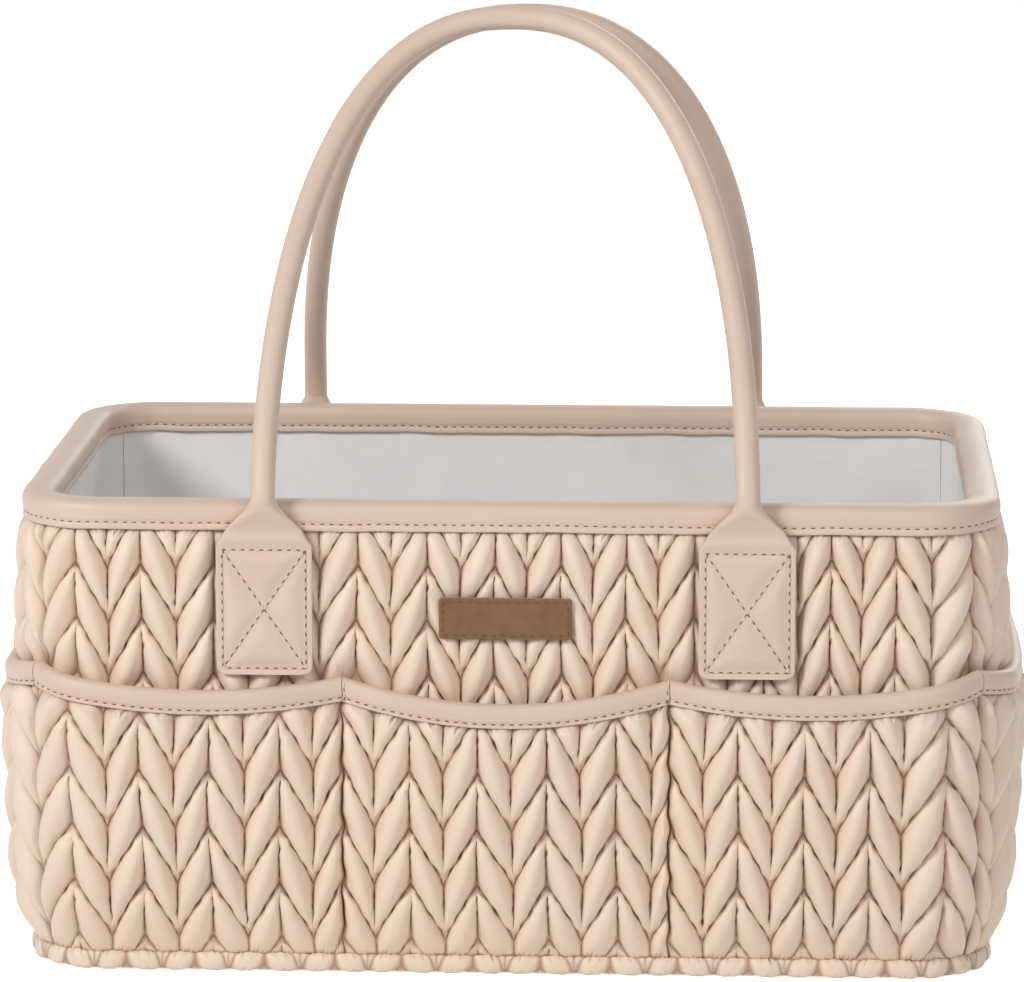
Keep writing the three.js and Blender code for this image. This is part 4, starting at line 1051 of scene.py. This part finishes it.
# Handles: a strap of plain faux leather rolled round a cord core, and at each foot opened out flat into
# a tab that is sewn to the wall by a box of stitches with a cross.
HANDLE_RADIUS = 5.0
HANDLE_SPAN = 195.0
HANDLE_RISE = box_mm("front_handle_cover")[1][2] - RIM_TOP - HANDLE_RADIUS
HANDLE_SWAY = 3.0  # how far a handle's apex hangs to its own left
HANDLE_ROUNDNESS = 2.3
HINGE_Y = HALF_DEPTH + RIM_OUTSIDE + 0.5 + HANDLE_RADIUS
HANDLE_LEAN = HINGE_Y - HANDLE_RADIUS - 0.15
FOOT_CURVE = 0.05  # share of the rise over which the strap bends from upright into its lean
TAB_BOTTOM = TAB_LOW[2]
TAB_BACK = 6.5
TAB_THICKNESS = 2.5
TAB_CORNER = 3.0
STRAP_SQUARENESS = 8.0
BOX_INSET = 2.6  # from the tab's edge to its stitches
BOX_TOP = 177.3
TAB_PUFF = 1.5  # rise of the tab's face between stitch lines
TAB_DIP = 3.4  # from a stitch line to where the face has mostly risen again
TAB_DIP_POWER = 1.8
TAB_FADE_START = 2  # above the box of stitches
TAB_FADE = 6
NECK_JOIN = 6.0  # length of the arch that the neck stands for
BEND_HALF = 8  # half the height of a band about the hinge, centred on the rim's top
BOX_POINTS = 20  # along one stitch line of a tab
BOX_LIFT = 0.15  # of the stitches above the tab's face
RING_HALF = 42  # points over one face of the strap
# Height, width, thickness and depth of the strap's middle up the tab and on into the roll.
NECK = np.array([
    [178.5, 39.0, 2.5, 7.75], [179.7, 38.2, 2.6, 7.8], [181.2, 35.4, 2.8, 7.9], [183.5, 33.0, 3.2, 8.1],
    [185.8, 30.4, 3.8, 8.4], [188.1, 26.2, 4.8, 8.9], [191.0, 20.6, 6.4, 9.7], [194.4, 13.8, 8.6, 10.7],
    [197.6, 10.4, 9.8, 11.1], [199.5, 10.0, 10.0, 11.1]])


def strap_stations():
    """Middle, width, thickness and squareness of the strap from one tab's foot to the other's."""
    turn = np.radians([0, 30, 60, 90])
    foot = np.stack([
        TAB_BOTTOM + TAB_CORNER * (1 - np.cos(turn)), TAB_WIDTH - 2 * TAB_CORNER * (1 - np.sin(turn)),
        0 * turn + TAB_THICKNESS, 0 * turn + TAB_BACK + TAB_THICKNESS / 2], axis=-1)
    flat_height = np.linspace(TAB_BOTTOM + TAB_CORNER, NECK[0, 0], 42)[1:-1]
    flat = np.stack([flat_height, *(0 * flat_height + value for value in foot[-1, 1:])], axis=-1)
    neck_height = np.linspace(NECK[0, 0], NECK[-1, 0], 22)
    neck_sizes = [np.interp(neck_height, NECK[:, 0], NECK[:, i]) for i in (1, 2, 3)]
    neck = np.stack([neck_height, *neck_sizes], axis=-1)
    side = np.concatenate([foot, flat, neck])
    middle = np.stack([0 * side[:, 0] - HANDLE_SPAN / 2, -(HALF_DEPTH + side[:, 3]), side[:, 0]], axis=-1)
    opened = (side[:, 1] - 2 * HANDLE_RADIUS) / (TAB_WIDTH - 2 * HANDLE_RADIUS)
    square = 2 + (STRAP_SQUARENESS - 2) * smooth(opened)

    angle = np.linspace(0, np.pi, 400)
    power = 2 / HANDLE_ROUNDNESS
    up = np.abs(np.sin(angle)) ** power
    lean = up - FOOT_CURVE * (1 - np.exp(-up / FOOT_CURVE))
    arch = np.stack([
        -HANDLE_SPAN / 2 * np.sign(np.cos(angle)) * np.abs(np.cos(angle)) ** power - HANDLE_SWAY * up,
        HANDLE_LEAN * lean / lean.max() - HINGE_Y, RIM_TOP + HANDLE_RISE * up], axis=-1)
    gone = np.concatenate([[0], np.cumsum(np.linalg.norm(np.diff(arch, axis=0), axis=1))])
    even = np.linspace(NECK_JOIN, gone[-1] - NECK_JOIN, 120)
    roll = np.stack([np.interp(even, gone, arch[:, axis]) for axis in range(3)], axis=-1)
    across = np.array([-1, 1, 1])
    points = np.concatenate([middle, roll, middle[::-1] * across])
    plain = np.full(len(roll), 2 * HANDLE_RADIUS)
    widths = np.concatenate([side[:, 1], plain, side[::-1, 1]])
    depths = np.concatenate([side[:, 2], plain, side[::-1, 2]])
    squares = np.concatenate([square, np.full(len(roll), 2.0), square[::-1]])
    return points, widths, depths, squares


def box_lines(middle):
    """Stitch lines of one tab as pairs of ends: a box and its two diagonals, in x and height."""
    left, right = middle - TAB_WIDTH / 2 + BOX_INSET, middle + TAB_WIDTH / 2 - BOX_INSET
    low, high = TAB_BOTTOM + BOX_INSET, BOX_TOP
    corners = np.array([[left, low], [right, low], [right, high], [left, high]])
    order = ((0, 1), (1, 2), (2, 3), (3, 0), (0, 2), (1, 3))
    return [(corners[a], corners[b]) for a, b in order]


def sewn_relief(x, height):
    """How far the tab's face puffs up between its stitch lines."""
    nearest = np.full(np.broadcast_shapes(x.shape, height.shape), 1e3)
    for start, end in box_lines(math.copysign(HANDLE_SPAN / 2, x.flat[0])):
        line = end - start
        share = ((x - start[0]) * line[0] + (height - start[1]) * line[1]) / (line @ line)
        share = np.clip(share, 0, 1)
        gap = np.hypot(x - start[0] - share * line[0], height - start[1] - share * line[1])
        nearest = np.minimum(nearest, gap)
    return TAB_PUFF * (1 - np.exp(-(nearest / TAB_DIP) ** TAB_DIP_POWER))


def make_handle(name, body, turned, seed):
    middle, widths, depths, squares = strap_stations()
    ahead = np.gradient(middle, axis=0)
    ahead[widths > 2 * HANDLE_RADIUS + 1] *= np.array([0, 0, 1])
    ahead /= np.linalg.norm(ahead, axis=1)[:, None]
    beside = np.cross(np.array([0, -1.0, 0]), ahead)
    beside /= np.linalg.norm(beside, axis=1)[:, None]
    outward = np.cross(ahead, beside)
    face = -np.cos(np.pi * np.arange(RING_HALF + 1) / RING_HALF)
    spread = np.concatenate([face, face[-2:0:-1]])
    facing = np.concatenate([np.ones(RING_HALF + 1), -np.ones(RING_HALF - 1)])
    round_off = (1 - np.abs(spread) ** squares[:, None]).clip(0) ** (1 / squares[:, None])
    wide = widths[:, None] / 2 * spread
    deep = depths[:, None] / 2 * round_off * facing
    rings = middle[:, None] + beside[:, None] * wide[..., None] + outward[:, None] * deep[..., None]
    tab = middle[:, 2] < BOX_TOP + TAB_FADE_START + TAB_FADE
    for side in (-1, 1):
        rows = tab & (np.sign(middle[:, 0]) == side)
        fading = 1 - smooth((rings[rows][..., 2] - BOX_TOP - TAB_FADE_START) / TAB_FADE)
        lift = sewn_relief(rings[rows][..., 0], rings[rows][..., 2]) * fading
        rings[rows] += outward[rows][:, None] * (lift * (facing > 0) * round_off[rows] ** 2)[..., None]
    if turned:
        rings = quarter_turned(rings, 2)
    points, faces = swept(rings)
    strap = make_piece(name, points, faces, strip_leather)
    hinge = HINGE_Y if turned else -HINGE_Y
    bend = [(0, hinge * MM, height * MM) for height in (RIM_TOP - BEND_HALF, RIM_TOP + BEND_HALF)]
    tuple(bend[0])
    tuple(bend[1])
    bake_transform(strap)
    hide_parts(f"{body}_cover", f"{body}_core", f"{body}_tab_left", f"{body}_tab_right")

    rows = []
    for tab_middle in (-HANDLE_SPAN / 2, HANDLE_SPAN / 2):
        for start, end in box_lines(tab_middle):
            flat = np.linspace(start, end, BOX_POINTS)
            front = np.full(BOX_POINTS, -(HALF_DEPTH + TAB_BACK + TAB_THICKNESS + BOX_LIFT))
            path = np.stack([flat[:, 0], front, flat[:, 1]], axis=-1)
            outward = np.tile([0.0, -1.0, 0.0], (BOX_POINTS, 1))
            if turned:
                path, outward = quarter_turned(path, 2), quarter_turned(outward, 2)
            rows.append(stitches(path, outward, seed))
    sew(f"{name}_stitching", rows)


make_handle("front_handle_strap", "front_handle", False, 90)
make_handle("back_handle_strap", "back_handle", True, 91)


# Label: a small patch of brown faux suede with clean-cut edges, sewn flat on the front wall by one
# row of stitches just inside its border. It is left plain.
LABEL_CORNER = 1.5
LABEL_EDGE = 0.8
LABEL_BOW = 0.25  # how far the label follows the leaves under it
BOW_WIDTH = 9.0
BOW_HEIGHT = 6.0
LABEL_STITCH_INSET = 1.7
LABEL_STITCH_POINTS = 24
LABEL_STITCH_SINK = 0.05
PATCH_BORDER = 2.5  # width along a patch's edges in which its points lie closer

# Faux suede: microfibre brushed to a short nap, matt, mottled where the nap has been stroked.
NAP_PATCH = 5.0
NAP_FIBRE = 0.6
suede, tree, place = new_material("microfibre_suede_brushed")
patches = add_node(tree, "ShaderNodeTexNoise", {}, {
    "Vector": place, "Scale": per_metre(NAP_PATCH), "Detail": 4.0})
fibres = add_node(tree, "ShaderNodeTexNoise", {}, {
    "Vector": place, "Scale": per_metre(NAP_FIBRE), "Detail": 2.0})
nap = add_node(tree, "ShaderNodeMix", {"data_type": "RGBA"}, {
    0: patches.outputs["Fac"], 6: colour("#704b33"), 7: colour("#8a6446")})
brushed = add_node(tree, "ShaderNodeBump", {}, {
    "Height": fibres.outputs["Fac"], "Strength": 0.5, "Distance": 0.25 * MM})
shader = add_node(tree, "ShaderNodeBsdfPrincipled", {}, {
    "Base Color": nap.outputs[2], "Normal": brushed.outputs["Normal"], "Roughness": 0.95, "IOR": 1.45,
    "Sheen Weight": 0.35, "Sheen Roughness": 0.6})
add_node(tree, "ShaderNodeOutputMaterial", {}, {"Surface": shader.outputs[0]})


def soft_patch(size, thickness, corner, edge, place_on):
    """Points and faces of a flat patch with round corners and softened edges, face at full thickness."""
    half_width, half_height = size[0] / 2, size[1] / 2
    near = np.array([0, 0.06, 0.2, 0.45, 0.8, 1.2, 1.8])
    middle = np.linspace(PATCH_BORDER - half_width, half_width - PATCH_BORDER, 40)
    run = np.concatenate([near - half_width, middle, half_width - near[::-1]])
    reach = round_cornered(run, half_width, half_height, corner) + 0.02
    middle_share = np.linspace(-1 + PATCH_BORDER / half_height, 1 - PATCH_BORDER / half_height, 14)
    share = np.concatenate([-1 + near / half_height, middle_share, 1 - near[::-1] / half_height])
    height = reach[:, None] * share
    gap = np.minimum((half_width - np.abs(run))[:, None], reach[:, None] - np.abs(height))
    depth = thickness * (0.5 + 0.5 * rounded(gap, edge))
    front = place_on(run[:, None], depth, height)
    back = [place_on(run, 0.0, side * reach) for side in (-1, 1)]
    return plain_panel(front, share < 0, back)


label_middle = (LABEL_LOW + LABEL_HIGH) / 2
label_size = LABEL_HIGH - LABEL_LOW


def on_label(run, depth, height):
    run, depth, height = np.broadcast_arrays(run, depth, height)
    bow = LABEL_BOW * np.sin(run / BOW_WIDTH) * np.sin(height / BOW_HEIGHT + 1)
    y = LABEL_HIGH[1] - depth - bow
    return np.stack([run + label_middle[0], y, height + label_middle[2]], axis=-1)


points, faces = soft_patch(
    (label_size[0], label_size[2]), label_size[1], LABEL_CORNER, LABEL_EDGE, on_label)
label = make_piece("suede_label", points, faces, suede)
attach(label, "caddy")
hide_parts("label")
inset_x = label_size[0] / 2 - LABEL_STITCH_INSET
inset_z = label_size[2] / 2 - LABEL_STITCH_INSET
label_corners = np.array([[-1, -1], [1, -1], [1, 1], [-1, 1]]) * [inset_x, inset_z]
label_rows = []
for start, end in zip(label_corners, np.roll(label_corners, -1, axis=0)):
    line = np.linspace(start, end, LABEL_STITCH_POINTS)
    path = on_label(line[:, 0], label_size[1] - LABEL_STITCH_SINK, line[:, 1])
    label_rows.append(stitches(path, np.tile([0.0, -1.0, 0.0], (LABEL_STITCH_POINTS, 1)), 95))
sew("label_stitching", label_rows, sewing_thread("polyester_thread_brown", "#563b2b", "#73523e"))


# Dividers: two loose panels of foam covered in the lining cloth, pressed in along a seam near their
# border, with hook tape on the upright edges that grips loop tape sewn to the front and back lining.
DIVIDER_LOW, DIVIDER_HIGH = box_mm("divider_right_panel")
DIVIDER_X = (DIVIDER_LOW[0] + DIVIDER_HIGH[0]) / 2
DIVIDER_HALF_DEPTH = DIVIDER_HIGH[1]
DIVIDER_THICKNESS = DIVIDER_HIGH[0] - DIVIDER_LOW[0]
DIVIDER_CORNER = 14.0
DIVIDER_EDGE = 4  # distance in which a panel swells from its border to its full thickness
DIVIDER_BORDER_SHARE = 0.55
DIVIDER_SWELL_SHARE = 0.45
DIVIDER_SEAM_INSET = 7.0
DIVIDER_SEAM_DEPTH = 0.45
DIVIDER_SEAM_WIDTH = 1.3
TAPE_CORNER = 0.4
TAPE_EDGE = 0.6


def divider_form(middle):
    run = np.linspace(-DIVIDER_HALF_DEPTH, DIVIDER_HALF_DEPTH, 120)
    into = np.maximum(np.abs(run) - DIVIDER_HALF_DEPTH + DIVIDER_CORNER, 0)
    top = DIVIDER_HIGH[2] - DIVIDER_CORNER + np.sqrt(np.maximum(DIVIDER_CORNER ** 2 - into ** 2, 0.01))
    share = (1 - np.cos(np.pi * np.linspace(0, 1, 60))) / 2
    height = DIVIDER_LOW[2] + (top - DIVIDER_LOW[2])[:, None] * share
    gap = np.minimum(DIVIDER_HALF_DEPTH - np.abs(run)[:, None],
                     np.minimum(height - DIVIDER_LOW[2], top[:, None] - height))
    groove = DIVIDER_SEAM_DEPTH * np.exp(-((gap - DIVIDER_SEAM_INSET) / DIVIDER_SEAM_WIDTH) ** 2)
    share_of_full = DIVIDER_BORDER_SHARE + DIVIDER_SWELL_SHARE * rounded(gap, DIVIDER_EDGE)
    half = DIVIDER_THICKNESS / 2 * share_of_full - groove
    sides = [np.stack(np.broadcast_arrays(middle + facing * half, facing * run[:, None], height), axis=-1)
             for facing in (1, -1)]
    front, back = sides[0], sides[1][::-1]
    return plain_panel(front, share < 0.5, np.swapaxes(back, 0, 1))


# Hook and loop tape: woven nylon with a dense pile, pale grey and matt, speckled with shadow.
PILE = 0.8
pile_tape, tree, place = new_material("nylon_hook_and_loop_pile")
pile = add_node(tree, "ShaderNodeTexVoronoi", {"feature": "F1"}, {
    "Vector": place, "Scale": per_metre(PILE)})
fuzz = add_node(tree, "ShaderNodeMix", {"data_type": "RGBA"}, {
    0: pile.outputs["Distance"], 6: colour("#d8d5d1"), 7: colour("#b5b1ad")})
tufts = add_node(tree, "ShaderNodeBump", {}, {
    "Height": pile.outputs["Distance"], "Strength": 0.8, "Distance": 0.5 * MM})
shader = add_node(tree, "ShaderNodeBsdfPrincipled", {}, {
    "Base Color": fuzz.outputs[2], "Normal": tufts.outputs["Normal"], "Roughness": 0.9, "IOR": 1.53,
    "Sheen Weight": 0.2})
add_node(tree, "ShaderNodeOutputMaterial", {}, {"Surface": shader.outputs[0]})


def make_tape(name, node, facing, body):
    """Strip of tape in the place of its node, with its pile facing along Y."""
    low, high = box_mm(node)
    middle, size = (low + high) / 2, high - low

    def on_tape(run, depth, height):
        run, depth, height = np.broadcast_arrays(run, depth, height)
        y = middle[1] + facing * (depth - size[1] / 2)
        return np.stack([middle[0] - facing * run, y, height + middle[2]], axis=-1)

    points, faces = soft_patch((size[0], size[2]), size[1], TAPE_CORNER, TAPE_EDGE, on_tape)
    tape = make_piece(name, points, faces, pile_tape)
    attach(tape, body)
    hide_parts(node)


for side, middle in (("left", -DIVIDER_X), ("right", DIVIDER_X)):
    body = f"divider_{side}"
    divider = make_piece(f"divider_{side}_padding", *divider_form(middle), lining_cloth)
    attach(divider, body)
    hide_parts(f"divider_{side}_panel")
    for end, facing in (("front", 1), ("back", -1)):
        make_tape(f"divider_{side}_{end}_hooks", f"divider_{side}_{end}_hook_tape", -facing, body)
        make_tape(f"{end}_{side}_loops", f"{end}_{side}_loop_tape", facing, "caddy")


# Studio: a plain pale sweep of paper under and behind the caddy, a broad soft lamp from the left front,
# weaker ones from the right front and the back, and even light all round.
PAPER_FIBRE = 1.5
PAPER_LIFT = 0.75  # brings the lit paper up to white for the eye, shadows with it
paper, tree, place = new_material("paper_sweep_matt")
fibres = add_node(tree, "ShaderNodeTexNoise", {}, {"Vector": place, "Scale": per_metre(PAPER_FIBRE)})
sheet = add_node(tree, "ShaderNodeMix", {"data_type": "RGBA"}, {
    0: fibres.outputs["Fac"], 6: colour("#fbfbfb"), 7: colour("#ffffff")})
shader = add_node(tree, "ShaderNodeBsdfPrincipled", {}, {
    "Base Color": sheet.outputs[2], "Roughness": 1.0, "Specular IOR Level": 0.0})


def in_view(tree):
    """1 where the eye looks straight, by way of a gloss or through something clear, and 0 for light."""
    path = tree.nodes.new("ShaderNodeLightPath")
    either = add_node(tree, "ShaderNodeMath", {"operation": "MAXIMUM"}, {
        0: path.outputs["Is Camera Ray"], 1: path.outputs["Is Glossy Ray"]})
    any_way = add_node(tree, "ShaderNodeMath", {"operation": "MAXIMUM"}, {
        0: either.outputs[0], 1: path.outputs["Is Transmission Ray"]})
    return any_way.outputs[0]


lift = add_node(tree, "ShaderNodeMath", {"operation": "MULTIPLY"}, {0: in_view(tree), 1: PAPER_LIFT})
glow = add_node(tree, "ShaderNodeEmission", {}, {"Color": (1, 1, 1, 1), "Strength": lift.outputs[0]})
lifted = add_node(tree, "ShaderNodeAddShader", {}, {0: shader.outputs[0], 1: glow.outputs[0]})
add_node(tree, "ShaderNodeOutputMaterial", {}, {"Surface": lifted.outputs[0]})

SWEEP_FRONT = -4500
SWEEP_BACK = 4500  # where the paper starts to bend upwards
SWEEP_BEND = 1200
SWEEP_SIDE = 5000
SWEEP_TOP = 5000
turn = np.radians(range(0, 91, 10))
sweep_length = np.concatenate([
    [SWEEP_FRONT], SWEEP_BACK + SWEEP_BEND * np.sin(turn), [SWEEP_BACK + SWEEP_BEND]])
sweep_height = np.concatenate([[0], SWEEP_BEND * (1 - np.cos(turn)), [SWEEP_TOP]])
sweep_points = np.concatenate([
    np.stack([0 * sweep_length + side, sweep_length, sweep_height], axis=-1)
    for side in (-SWEEP_SIDE, SWEEP_SIDE)])
rows = len(sweep_length)
sweep_faces = [[i, rows + i, rows + i + 1, i + 1] for i in range(rows - 1)]
backdrop = make_piece("paper_sweep", sweep_points, sweep_faces, paper, sharp=80)

WORLD_STRENGTH = 0.28
world = bpy.data.worlds.new("studio")
bpy.context.scene.world = world
world.use_nodes = True
tree = world.node_tree
tree.nodes.clear()
white = add_node(tree, "ShaderNodeBackground", {}, {"Color": (1, 1, 1, 1), "Strength": 1.0})
even = add_node(tree, "ShaderNodeBackground", {}, {
    "Color": colour("#fffdfb"), "Strength": WORLD_STRENGTH})
seen = add_node(tree, "ShaderNodeMixShader", {}, {
    0: in_view(tree), 1: even.outputs[0], 2: white.outputs[0]})
add_node(tree, "ShaderNodeOutputWorld", {}, {"Surface": seen.outputs[0]})


def add_lamp(name, place, aim, size, power):
    lamp = bpy.data.lights.new(name, "AREA")
    lamp.shape = "DISK"
    lamp.size = size
    lamp.energy = power
    holder = bpy.data.objects.new(name, lamp)
    bpy.context.collection.objects.link(holder)
    holder.location = place
    holder.rotation_euler = (Vector(aim) - Vector(place)).to_track_quat("-Z", "Y").to_euler()


LAMP_AIM = (0, 0, 0.15)
add_lamp("key_lamp", (-1.62, -1.65, 1.5), LAMP_AIM, size=0.8, power=37)
add_lamp("fill_lamp", (1.2, -2.1, 1.4), LAMP_AIM, size=1.4, power=16)
add_lamp("back_lamp", (0.9, 2.4, 1.3), LAMP_AIM, size=1.4, power=20)

# Camera: a long lens a little above the rim and slightly to the right, as in the photograph.
AZIMUTH = 2.7
ELEVATION = 10.3
DISTANCE = 2.2
PIXELS_PER_METRE = 2487.0  # at the front of the rim, in a picture 1024 wide
PICTURE_WIDTH = 1024
SENSOR_WIDTH = 36
CAMERA_AIM = Vector((0.0026, -0.125, 0.2017))
camera_data = bpy.data.cameras.new("camera")
camera_data.sensor_fit = "HORIZONTAL"
camera_data.sensor_width = SENSOR_WIDTH
camera_data.lens = PIXELS_PER_METRE * DISTANCE * SENSOR_WIDTH / PICTURE_WIDTH
camera = bpy.data.objects.new("camera", camera_data)
bpy.context.collection.objects.link(camera)
azimuth, elevation = math.radians(AZIMUTH), math.radians(ELEVATION)
back = Vector((
    math.sin(azimuth) * math.cos(elevation),
    -math.cos(azimuth) * math.cos(elevation),
    math.sin(elevation)))
camera.location = CAMERA_AIM + back * DISTANCE
camera.rotation_euler = (-back).to_track_quat("-Z", "Y").to_euler()
bpy.context.scene.camera = camera
bpy.context.scene.view_settings.view_transform = "Standard"
